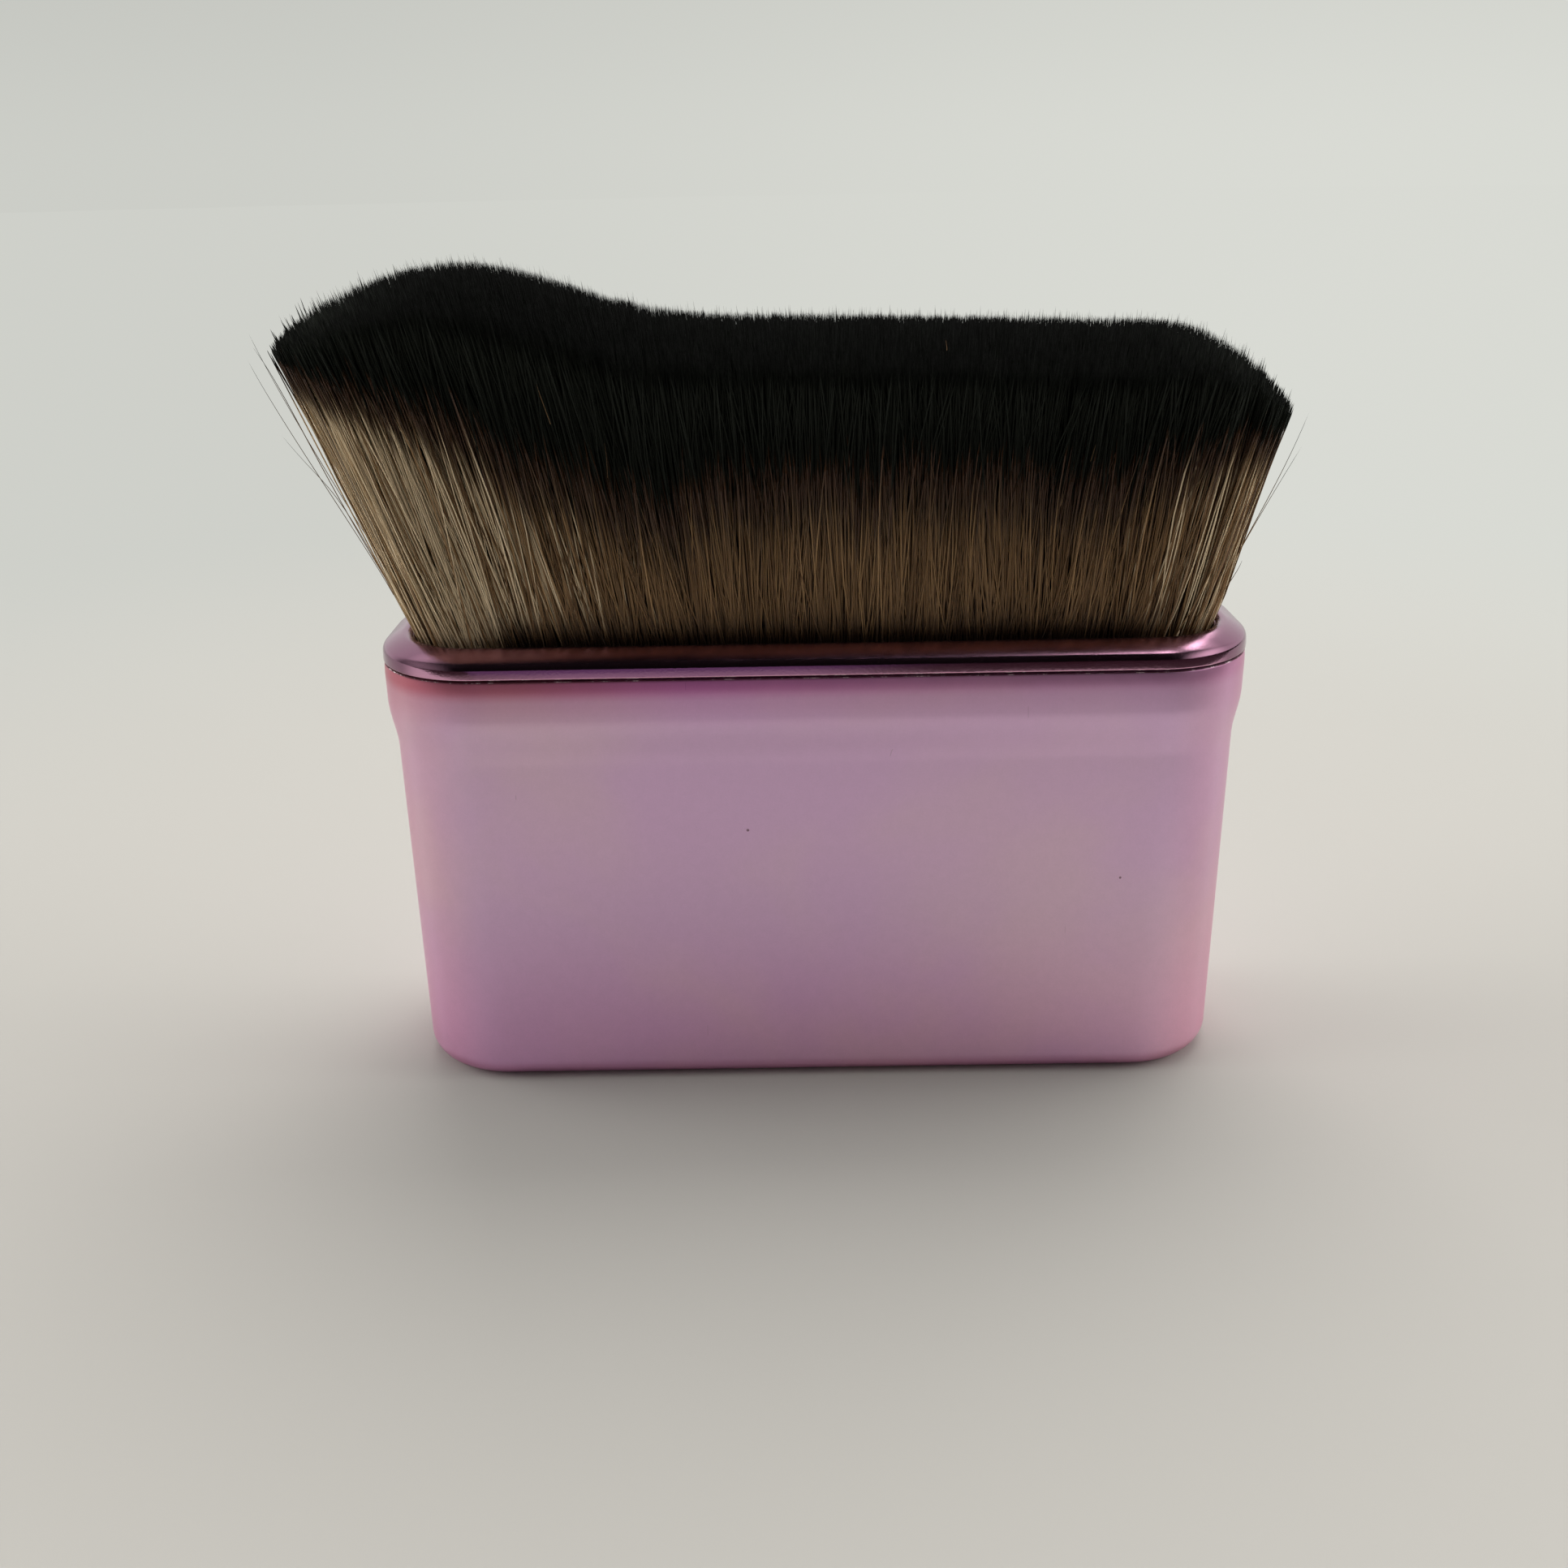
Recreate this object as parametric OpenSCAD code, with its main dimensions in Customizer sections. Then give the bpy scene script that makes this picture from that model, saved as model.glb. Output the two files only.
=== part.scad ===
/* [Handle] */
// Width of the handle and collar at the seam
handle_w = 76; // [66:0.5:90]
// Depth of the handle and collar at the seam
handle_d = 23.2; // [22:0.4:30]
// Height of the handle from its base to the seam
handle_h = 39; // [36:0.5:56]
// Radius of the upright corners, seen from above
corner_r = 9.2; // [8.8:0.1:10]
// How far the grip is drawn in below the shoulder
waist_in = 0.55; // [0.2:0.05:0.9]
// Draft of each side from the waist to the base
draft_in = 0.1; // [0:0.05:0.5]
// Radius of the rounded edge round the base
base_edge_r = 2; // [1.2:0.1:3]
// Height of the full width band under the seam
band_h = 3.5; // [2.5:0.1:4.5]
// Height of the curve from the band to the waist
shoulder_h = 4.5; // [3:0.1:7]

/* [Handle moulding] */
// Wall of the handle below the ledge
shell_wall = 1.8; // [1.4:0.1:2.2]
// Wall of the handle beside the collar's skirt
rim_wall = 1.5; // [1.2:0.05:1.7]
// Floor of the handle
floor_t = 2.2; // [1.6:0.1:3]
// Thickness of the cross webs that carry the cup
web_t = 1.4; // [1:0.1:2]
// Number of cross webs
web_count = 3; // [2:1:5]

/* [Collar] */
// Height of the collar's crest above the seam
collar_rise = 2.3; // [1.8:0.1:3]
// Width of the collar's rim, from its outside to the bristle opening
rim_w = 3.05; // [2.9:0.05:3.3]
// Width of the rounded shoulder, from the outside to the crest
crest_in = 2.1; // [1.5:0.1:2.4]
// Height of the upright band between the seam and the shoulder
collar_band_h = 0.7; // [0.4:0.1:1]
// Fall from the crest to the inner lip
lip_fall = 0.35; // [0.2:0.05:0.6]
// Depth of the skirt inside the handle
skirt_h = 7; // [5.5:0.1:9]
// Wall of the skirt
skirt_t = 1; // [0.9:0.05:1.2]
// Open line between the handle and the collar
seam_gap = 0.12; // [0.08:0.02:0.2]
// Bevel on both edges of the seam
seam_bevel = 0.12; // [0.08:0.02:0.2]

/* [Bristle cup] */
// Wall of the cup
cup_wall = 1.1; // [0.8:0.05:1.2]
// Floor of the cup
cup_floor_t = 1.6; // [1.2:0.1:2.4]
// Inside depth of the cup, from its floor to its rim
cup_depth = 13.6; // [11:0.2:16]
// Depth of the set resin in the cup
resin_h = 4; // [2.5:0.1:5]
// Height of the snap bead on the cup
snap_h = 0.8; // [0.6:0.1:1.2]
// How far the snap bead stands out
snap_out = 0.25; // [0.15:0.05:0.35]
// Depth of the snap bead's middle below the seam
snap_below = 4; // [3.5:0.1:4.5]
// Height of the glue line round the skirt
glue_h = 1; // [0.6:0.1:1.4]
// Depth of the glue groove in the skirt
glue_in = 0.4; // [0.3:0.05:0.5]
// Depth of the glue line's middle below the seam
glue_below = 2; // [1.5:0.1:2.5]
// Clearance between pieces that fit in one another
fit_gap = 0.1; // [0.04:0.01:0.12]

/* [Bristle head] */
// Height of the flat stretch of the cut top above the seam
head_h = 27.8; // [20:0.2:36]
// How far the wave rises above the flat stretch
wave_rise = 4.7; // [2:0.1:8]
// Distance of the wave's peak to the left of the middle
wave_left = 29.3; // [22:0.1:34]
// Spread of the wave on each side of its peak
wave_spread = 8.8; // [6:0.2:12]
// Slope of the flat stretch, in fall for each unit of length
flat_slope = 0.03; // [0:0.005:0.06]
// How far the tips lean out at the left end
fan_left = 10.8; // [6:0.2:11.6]
// How far the tips lean out at the right end
fan_right = 6.4; // [3:0.2:11]
// How far the tips lean out at the front and back
fan_depth = 3.8; // [1:0.2:6]
// Fall of the cut top at the left end
left_fall = 2.8; // [1:0.2:6]
// Fall of the cut top at the right end
right_fall = 6.1; // [3:0.1:9]
// Length of the rounded left end
left_round = 8; // [5:0.2:12]
// Length of the rounded right end
right_round = 11.2; // [8:0.2:16]
// Fall of the cut top from its middle to the front and back
dome_fall = 2.4; // [0.5:0.1:4]
// Length of the tapered tips
tip_len = 2; // [1.5:0.1:5]
// How far the strands stand out of line, so that no gap runs straight through
stagger = 0.3; // [0:0.05:0.4]
// Columns of strands in each hank
hank_cols = 8; // [7:1:8]
// Rows of strands from front to back
hank_rows = 8; // [7:1:8]

/* [Hidden] */
$fn = 96;

// Hanks of bristle, side by side from left to right
hank_count = 6;

// Half sizes of the straight core that every rounded outline is carried round
core_x = handle_w / 2 - corner_r;
core_y = handle_d / 2 - corner_r;

// Outlines, as distances out from the core
waist_r = corner_r - waist_in;
base_r = waist_r - draft_in;
shell_in_r = base_r - shell_wall;
rebate_r = corner_r - rim_wall;
skirt_out_r = rebate_r - fit_gap;
skirt_in_r = skirt_out_r - skirt_t;
opening_r = corner_r - rim_w;
crest_r = corner_r - crest_in;
cup_out_r = skirt_in_r - fit_gap;
cup_in_r = cup_out_r - cup_wall;
packed_r = cup_in_r - fit_gap;

// Levels above the base
seam_z = handle_h;
shell_top_z = seam_z - seam_gap / 2;
collar_low_z = seam_z + seam_gap / 2;
crest_z = seam_z + collar_rise;
lip_z = crest_z - lip_fall;
ledge_z = seam_z - skirt_h;
band_z = seam_z - band_h;
waist_z = band_z - shoulder_h;
cup_top_z = seam_z;
lip_low_z = cup_top_z + fit_gap;
cup_floor_z = cup_top_z - cup_depth;
cup_low_z = cup_floor_z - cup_floor_t;
resin_z = cup_floor_z + resin_h;
snap_z = seam_z - snap_below;
glue_z = seam_z - glue_below;
packed_z = cup_top_z;

// Steps in the rounded stretches of an outline
arc_steps = 10;
// Length by which fused stretches run into each other
overrun = 0.3;
// Radius of the lip's inner edge
lip_round = lip_fall / 2;

// Where the fan starts to lean, as shares of the half width
left_lean_share = 0.2;
right_lean_share = 0.45;
// How sharply the lean and the ends grow
left_lean_power = 1.3;
right_lean_power = 1.8;
left_fall_power = 2.6;
right_fall_power = 2.2;
// Shares of its cell that a strand fills at its root and at its neck
root_fill_share = 0.86;
neck_fill_share = 0.82;

// An arc of the outline, with its middle, half width, half height and two angles
function arc(mid, rx, rz, from, to) = [
    for (i = [0:arc_steps])
        let (a = from + (to - from) * i / arc_steps)
        [mid[0] + rx * cos(a), mid[1] + rz * sin(a)]
];

// A share from 0 to 1 that starts and ends smoothly
function eased(t) = (1 - cos(180 * t)) / 2;

// Carries a profile, drawn as distance out and height, round the rounded core
module carried(profile) {
    for (turn = [0, 180]) rotate([0, 0, turn]) {
        translate([core_x, core_y, 0])
            rotate_extrude(angle = 90) polygon(profile);
        translate([-core_x, core_y, 0])
            rotate([0, 0, 90]) rotate_extrude(angle = 90) polygon(profile);
        translate([core_x, 0, 0])
            rotate([90, 0, 0]) linear_extrude(2 * core_y, center = true) polygon(profile);
        translate([0, core_y, 0])
            rotate([90, 0, 90]) linear_extrude(2 * core_x, center = true) polygon(profile);
    }
}

// The flat slab that fills the core between two heights
module core_slab(low, high) {
    translate([-core_x, -core_y, low]) cube([2 * core_x, 2 * core_y, high - low]);
}

// Outside of the handle from its base to the seam, then down its inside
function shell_profile() = concat(
    [[0, 0]],
    arc([base_r - base_edge_r, base_edge_r], base_edge_r, base_edge_r, -90, 0),
    [for (i = [0:arc_steps])
        let (t = i / arc_steps) [waist_r + waist_in * eased(t), waist_z + shoulder_h * t]],
    [
        [corner_r, shell_top_z - seam_bevel],
        [corner_r - seam_bevel, shell_top_z],
        [rebate_r, shell_top_z],
        [rebate_r, ledge_z],
        [shell_in_r, ledge_z],
        [shell_in_r, floor_t],
        [0, floor_t]
    ]
);

// The cross webs stand on the floor, join both long walls and carry the cup
module webs() {
    pitch = 2 * core_x / web_count;
    for (i = [0:web_count - 1])
        translate([pitch * (i - (web_count - 1) / 2) - web_t / 2, -core_y - shell_in_r - overrun,
            floor_t - overrun])
            cube([web_t, 2 * (core_y + shell_in_r + overrun), cup_low_z - floor_t + overrun]);
}

module handle_shell() {
    color("plum") union() {
        carried(shell_profile());
        core_slab(0, floor_t);
        webs();
    }
}

// Skirt with its glue groove, then the rounded rim, the lip and the snap groove
function collar_profile() = concat(
    [
        [skirt_in_r, ledge_z],
        [skirt_out_r, ledge_z],
        [skirt_out_r, glue_z - glue_h / 2],
        [skirt_out_r - glue_in, glue_z - glue_h / 2],
        [skirt_out_r - glue_in, glue_z + glue_h / 2],
        [skirt_out_r, glue_z + glue_h / 2],
        [skirt_out_r, collar_low_z],
        [corner_r - seam_bevel, collar_low_z],
        [corner_r, collar_low_z + seam_bevel]
    ],
    arc([crest_r, seam_z + collar_band_h], crest_in, collar_rise - collar_band_h, 0, 90),
    arc([opening_r + lip_round, lip_z - lip_round], lip_round, lip_round, 90, 180),
    [
        [opening_r, lip_low_z],
        [skirt_in_r, lip_low_z],
        [skirt_in_r, snap_z + snap_h / 2 + fit_gap],
        [skirt_in_r + snap_out, snap_z],
        [skirt_in_r, snap_z - snap_h / 2 - fit_gap]
    ]
);

module collar() {
    color("palevioletred") carried(collar_profile());
}

// The cured line of glue between the skirt's groove and the handle
module collar_glue() {
    color("ivory") carried([
        [skirt_out_r - glue_in, glue_z - glue_h / 2],
        [rebate_r, glue_z - glue_h / 2],
        [rebate_r, glue_z + glue_h / 2],
        [skirt_out_r - glue_in, glue_z + glue_h / 2]
    ]);
}

// The tray that holds the hanks, with a snap bead for the collar
module bristle_cup() {
    color("black") union() {
        carried([
            [0, cup_low_z],
            [cup_out_r, cup_low_z],
            [cup_out_r, snap_z - snap_h / 2],
            [cup_out_r + snap_out, snap_z],
            [cup_out_r, snap_z + snap_h / 2],
            [cup_out_r, cup_top_z],
            [cup_in_r, cup_top_z],
            [cup_in_r, cup_floor_z],
            [0, cup_floor_z]
        ]);
        core_slab(cup_low_z, cup_floor_z);
    }
}

// The set resin that bonds the hanks to the cup
module resin_bed() {
    color("goldenrod") union() {
        carried([[0, cup_floor_z], [packed_r, cup_floor_z], [packed_r, resin_z], [0, resin_z]]);
        core_slab(cup_floor_z, resin_z);
    }
}

// Height of the cut top over a tip at x and y
function cut_top(x, y) =
    seam_z + head_h
    - flat_slope * max(0, x)
    + wave_rise * exp(-pow((x + wave_left) / wave_spread, 2) / 2)
    - left_fall * pow(max(0, (left_round - head_left - x) / left_round), left_fall_power)
    - right_fall * pow(max(0, (x + right_round - head_right) / right_round), right_fall_power)
    - dome_fall * pow(y / head_side, 2);

// Reach of the tips to the left, to the right and to the front
head_left = core_x + packed_r + fan_left;
head_right = core_x + packed_r + fan_right;
head_side = core_y + packed_r + fan_depth;

// Half width of the packed bristle at a distance y from its middle
function half_width(y) =
    core_x + sqrt(max(0, packed_r * packed_r - pow(max(0, abs(y) - core_y), 2)));

// Lean of a tip, for shares u and v of the half width and half depth
function lean_x(u) =
    fan_right * pow(max(0, (u - right_lean_share) / (1 - right_lean_share)), right_lean_power)
    - fan_left * pow(max(0, (left_lean_share - u) / (1 + left_lean_share)), left_lean_power);

// Every second line of strands is moved by the stagger, but none at the rim
function moved(share, count) = stagger * cos(180 * count * (share + 1) / 2);

function root_at(u, v) =
    let (y = v * (core_y + packed_r), inside = (1 - pow(u, 4)) * (1 - pow(v, 4)))
    [
        u * half_width(y) + inside * moved(v, hank_rows),
        y + inside * moved(u, hank_count * hank_cols),
        packed_z
    ];

function tip_at(u, v) =
    let (root = root_at(u, v), x = root[0] + lean_x(u), y = root[1] + fan_depth * v)
    [x, y, cut_top(x, y)];

// A hank is one closed skin: a packed root with a strand on each cell of its top
module hank(number) {
    cols = hank_cols;
    rows = hank_rows;
    all_cols = hank_count * cols;
    first = (number - 1) * cols;
    // Shares of the half width and half depth at each line of the grid
    u_shares = [for (i = [0:cols]) -1 + 2 * (first + i) / all_cols];
    v_shares = [for (j = [0:rows]) -1 + 2 * j / rows];
    cells = [for (j = [0:rows - 1]) for (i = [0:cols - 1]) [i, j]];
    turns = [[0, 0], [1, 0], [1, 1], [0, 1]];
    line = cols + 1;

    top = [for (v = v_shares) for (u = u_shares) root_at(u, v)];
    // Places of the strand's root ring, neck ring and point, nine for each cell
    strands = [for (c = cells)
        let (
            feet = [for (t = turns) root_at(u_shares[c[0] + t[0]], v_shares[c[1] + t[1]])],
            ends = [for (t = turns) tip_at(u_shares[c[0] + t[0]], v_shares[c[1] + t[1]])],
            foot = (feet[0] + feet[1] + feet[2] + feet[3]) / 4,
            tip = tip_at(
                (u_shares[c[0]] + u_shares[c[0] + 1]) / 2,
                (v_shares[c[1]] + v_shares[c[1] + 1]) / 2),
            neck = tip + (foot - tip) * tip_len / norm(foot - tip),
            middle = (ends[0] + ends[1] + ends[2] + ends[3]) / 4
        )
        each concat(
            [for (p = feet) foot + (p - foot) * root_fill_share],
            [for (p = ends)
                neck + [(p - middle)[0], (p - middle)[1], 0] * neck_fill_share],
            [tip]
        )
    ];
    // Lines of the grid round the outside, counted once each way
    rim = concat(
        [for (i = [0:cols - 1]) i],
        [for (j = [0:rows - 1]) j * line + cols],
        [for (i = [cols:-1:1]) rows * line + i],
        [for (j = [rows:-1:1]) j * line]
    );
    low = [for (k = rim) [top[k][0], top[k][1], resin_z]];
    low_mid = [(low[0][0] + low[cols + rows][0]) / 2, 0, resin_z];

    strand_0 = len(top);
    low_0 = strand_0 + len(strands);
    mid = low_0 + len(low);
    n = len(rim);
    // Two triangles between a lower edge a-b and an upper edge d-c
    function pair(a, b, c, d) = [[a, c, b], [a, d, c]];
    faces = concat(
        [for (k = [0:len(cells) - 1]) for (s = [0:3])
            let (
                c = cells[k], t = turns[s], w = turns[(s + 1) % 4],
                outer_a = (c[1] + t[1]) * line + c[0] + t[0],
                outer_b = (c[1] + w[1]) * line + c[0] + w[0],
                ring = strand_0 + 9 * k,
                a = ring + s,
                b = ring + (s + 1) % 4
            )
            each concat(
                pair(outer_a, outer_b, b, a),
                pair(a, b, b + 4, a + 4),
                [[a + 4, ring + 8, b + 4]]
            )],
        [for (k = [0:n - 1])
            each concat(
                pair(low_0 + k, low_0 + (k + 1) % n, rim[(k + 1) % n], rim[k]),
                [[low_0 + k, low_0 + (k + 1) % n, mid]]
            )]
    );
    color("tan") polyhedron(points = concat(top, strands, low, [low_mid]), faces = faces);
}

handle_shell();
collar();
collar_glue();
bristle_cup();
resin_bed();
hank(1);  // bristle_hank_1
hank(2);  // bristle_hank_2
hank(3);  // bristle_hank_3
hank(4);  // bristle_hank_4
hank(5);  // bristle_hank_5
hank(6);  // bristle_hank_6
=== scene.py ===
"""Looks of a wide, wave-cut body brush: metallised handle and collar, and a head of fine filaments."""

import bpy
import numpy as np
from bpy.props import FloatProperty, FloatVectorProperty, IntProperty, PointerProperty
from bpy.types import Operator, Panel, PropertyGroup
from mathutils import Matrix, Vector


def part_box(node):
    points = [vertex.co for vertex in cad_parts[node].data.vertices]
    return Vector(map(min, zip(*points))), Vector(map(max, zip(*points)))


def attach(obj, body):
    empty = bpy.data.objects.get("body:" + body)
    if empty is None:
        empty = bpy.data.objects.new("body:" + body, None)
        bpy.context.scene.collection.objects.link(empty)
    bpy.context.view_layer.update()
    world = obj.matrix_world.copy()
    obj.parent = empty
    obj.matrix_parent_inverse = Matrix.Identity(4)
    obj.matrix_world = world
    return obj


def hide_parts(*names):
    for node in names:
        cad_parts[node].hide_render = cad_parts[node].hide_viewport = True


bl_info = {
    "name": "Wave-cut body brush",
    "version": (1, 0, 0),
    "blender": (4, 5, 0),
    "location": "3D View > Sidebar > Brush",
    "description": "Builds the finished surfaces of a wide body brush round its packed model",
    "category": "Add Mesh",
}

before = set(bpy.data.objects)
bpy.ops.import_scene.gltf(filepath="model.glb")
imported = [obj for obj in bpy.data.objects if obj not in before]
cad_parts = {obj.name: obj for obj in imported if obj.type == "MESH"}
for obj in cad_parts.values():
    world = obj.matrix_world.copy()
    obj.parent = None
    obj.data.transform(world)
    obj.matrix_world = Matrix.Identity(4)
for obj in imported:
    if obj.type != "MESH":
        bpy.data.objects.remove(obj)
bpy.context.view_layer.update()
HANDLE_LOW, HANDLE_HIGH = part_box("handle_shell")
COLLAR_LOW, COLLAR_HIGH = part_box("collar")
CUP_LOW, CUP_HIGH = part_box("bristle_cup")
BODY = "root"
HANKS = 6


def size(name, description, default):
    """A length property, in metres."""
    return FloatProperty(name=name, description=description, default=default, unit="LENGTH", precision=5)


def share(name, description, default):
    """A plain number property."""
    return FloatProperty(name=name, description=description, default=default, precision=3)


def colour(name, description, default):
    """A colour property, in linear red, green and blue."""
    return FloatVectorProperty(name=name, description=description, default=default, subtype="COLOR", size=3)


def count(name, description, default):
    """A whole number property."""
    return IntProperty(name=name, description=description, default=default)


class BrushHandleSizes(PropertyGroup):
    """Sizes of the moulded handle."""

    width: size("Width", "Full width at the seam", HANDLE_HIGH[0] - HANDLE_LOW[0])
    depth: size("Depth", "Full depth at the seam", HANDLE_HIGH[1] - HANDLE_LOW[1])
    top: size("Top", "Height of the handle's upper rim", HANDLE_HIGH[2] - 0.00002)
    corner: size("Corner", "Radius of the rounded corners at the seam", 0.0092)
    waist_in: size("Waist", "How far the grip is drawn in below the shoulder", 0.00055)
    draft_in: size("Draft", "How much the grip narrows down to the base", 0.0001)
    base_round: size("Base edge", "Radius of the rounded edge round the base", 0.002)
    band: size("Band", "Height of the full width band below the seam", 0.0035)
    shoulder: size("Shoulder", "Height of the curve from the band to the grip", 0.0045)
    rim_roll: size("Rim roll", "Height over which the band rolls in towards the seam", 0.0013)
    rim_roll_in: size("Rim roll depth", "How far the band rolls in at the seam", 0.00007)
    bevel: size("Bevel", "Size of the bevels at the seam", 0.00006)
    wall: size("Wall", "Thickness of the handle's wall", 0.0018)
    rim_wall: size("Rim wall", "Thickness of the wall round the collar's skirt", 0.0015)
    floor: size("Floor", "Thickness of the handle's floor", 0.0022)
    ledge: size("Ledge", "Depth of the collar's seat below the seam", 0.007)
    web: size("Web", "Thickness of the cross webs inside", 0.0014)
    webs: count("Webs", "Number of cross webs inside", 3)


class BrushCollarSizes(PropertyGroup):
    """Sizes of the metallised collar."""

    low: size("Foot", "Height of the collar's lower edge at the seam", 0.0391)
    crest: size("Crest", "Height of the collar's crest", COLLAR_HIGH[2])
    crest_in: size("Crest offset", "How far the crest lies inside the outer face", 0.0021)
    rim: size("Rim", "Width of the collar's rim seen from above", 0.0029)
    lip_fall: size("Lip", "How far the lip lies below the crest", 0.00035)
    skirt_low: size("Skirt foot", "Height of the skirt's lower edge", COLLAR_LOW[2])
    skirt_wall: size("Skirt wall", "Thickness of the skirt", 0.001)
    skirt_gap: size("Skirt gap", "Gap between the skirt and the handle", 0.0001)
    groove: size("Glue groove", "Height of the glue groove", 0.001)
    groove_in: size("Groove depth", "Depth of the glue groove", 0.0003)
    groove_down: size("Groove place", "Height of the groove's middle below the seam", 0.002)
    band: size("Band", "Length of the nearly upright band above the seam", 0.00072)
    turn: size("Turn", "Length of the tight turn above the band", 0.00068)
    slope: size("Slope", "Length of the sloping face up to the crest", 0.00163)
    brow: size("Brow", "Length of the turn over the crest", 0.00035)


class BrushHeadSizes(PropertyGroup):
    """Form of the cut head, as the packed model has it."""

    root_x: size("Core length", "Half length of the straight stretch of the packed root", 0.0288)
    root_y: size("Core depth", "Half depth of the straight stretch of the packed root", 0.0024)
    root_round: size("Root corner", "Radius of the packed root's corners", 0.0053)
    root_z: size("Root height", "Height where the filaments leave the cup", CUP_HIGH[2])
    seam_z: size("Seam", "Height of the seam", 0.039)
    height: size("Height", "Height of the level stretch of the cut over the seam", 0.0281)
    wave: size("Wave", "Rise of the wave's crest", 0.0047)
    wave_x: size("Wave place", "Place of the crest along the width", -0.0293)
    wave_spread: size("Wave spread", "Half width of the wave", 0.0088)
    slope: share("Slope", "Fall of the level stretch per length", 0.03)
    fan_left: size("Left fan", "Lean of the left end's tips", 0.0096)
    fan_right: size("Right fan", "Lean of the right end's tips", 0.0055)
    fan_round: share("Fan rounding", "Share by which the lean shrinks towards the front and back", 0.15)
    left_curve: share("Left curve", "Power of the height with which the left end's lean grows", 1.0)
    right_curve: share("Right curve", "Power of the height with which the right end's lean grows", 0.84)
    fan_depth: size("Side fan", "Lean of the front and back tips", 0.0034)
    left_fall: size("Left fall", "Fall of the cut at the left end", 0.0023)
    right_fall: size("Right fall", "Fall of the cut at the right end", 0.0062)
    left_round: size("Left rounding", "Length of the rounding at the left end", 0.008)
    right_round: size("Right rounding", "Length of the rounding at the right end", 0.0104)
    dome: size("Dome", "Fall of the cut from the middle to the front and back", 0.0024)
    swell: size("Swell", "How far the end filaments spread towards the lip just above the cup", 0.0004)
    swell_rise: size("Swell rise", "Height over which they spread", 0.0008)


class BrushFilamentSettings(PropertyGroup):
    """How the filaments are drawn, set and dyed."""

    thick: size("Thickness", "Thickness of a filament", 0.00013)
    outer_pitch: size("Outer pitch", "Spacing of the outer filaments at the root", 0.00015)
    inner_pitch: size("Inner pitch", "Spacing of the inner filaments at the root", 0.000165)
    outer_depth: size("Outer depth", "Depth of the layer whose whole length shows", 0.0015)
    crown_depth: size("Crown depth", "Length of the inner filaments that shows at the cut", 0.0085)
    core_in: size("Core inset", "Inset of the dark middle of the head", 0.0016)
    core_down: size("Core depth", "How far the dark middle lies below the cut", 0.0062)
    cut_jitter: size("Cut roughness", "Unevenness of the cut", 0.00008)
    spike: size("Spikes", "Height of the tips that stand over the cut", 0.0007)
    drift: size("Drift", "Sideways drift of the tips from one lock to the next", 0.0009)
    stray: size("Stray", "Sideways drift of single tips", 0.0008)
    bow: size("Bow", "Sideways bow of single filaments", 0.0004)
    lock_length: size("Lock length", "Length of a small lock of filaments at the root", 0.0007)
    lock_depth: size("Lock depth", "Depth of a lock of filaments at the root", 0.0009)
    tuft_length: size("Tuft length", "Length of a large lock of filaments at the root", 0.0026)
    gather: share("Gather", "How far a small lock draws together halfway up", 0.5)
    tuft_gather: share("Tuft gather", "How far a large lock draws together below the dye", 0.28)
    # Painted shade: over the fade the filament is darkened below the dyed tips
    fade: size("Fade", "Length over which the filament darkens below the dye", 0.0070)
    # Painted shade: the foot of the filaments is darkened
    foot: size("Foot", "Height of the dark foot of the filaments", 0.0060)
    wisps: count("Wisps", "Number of loose filaments over each wide face", 1000)
    seed: count("Seed", "Start of the random numbers", 11)


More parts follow.
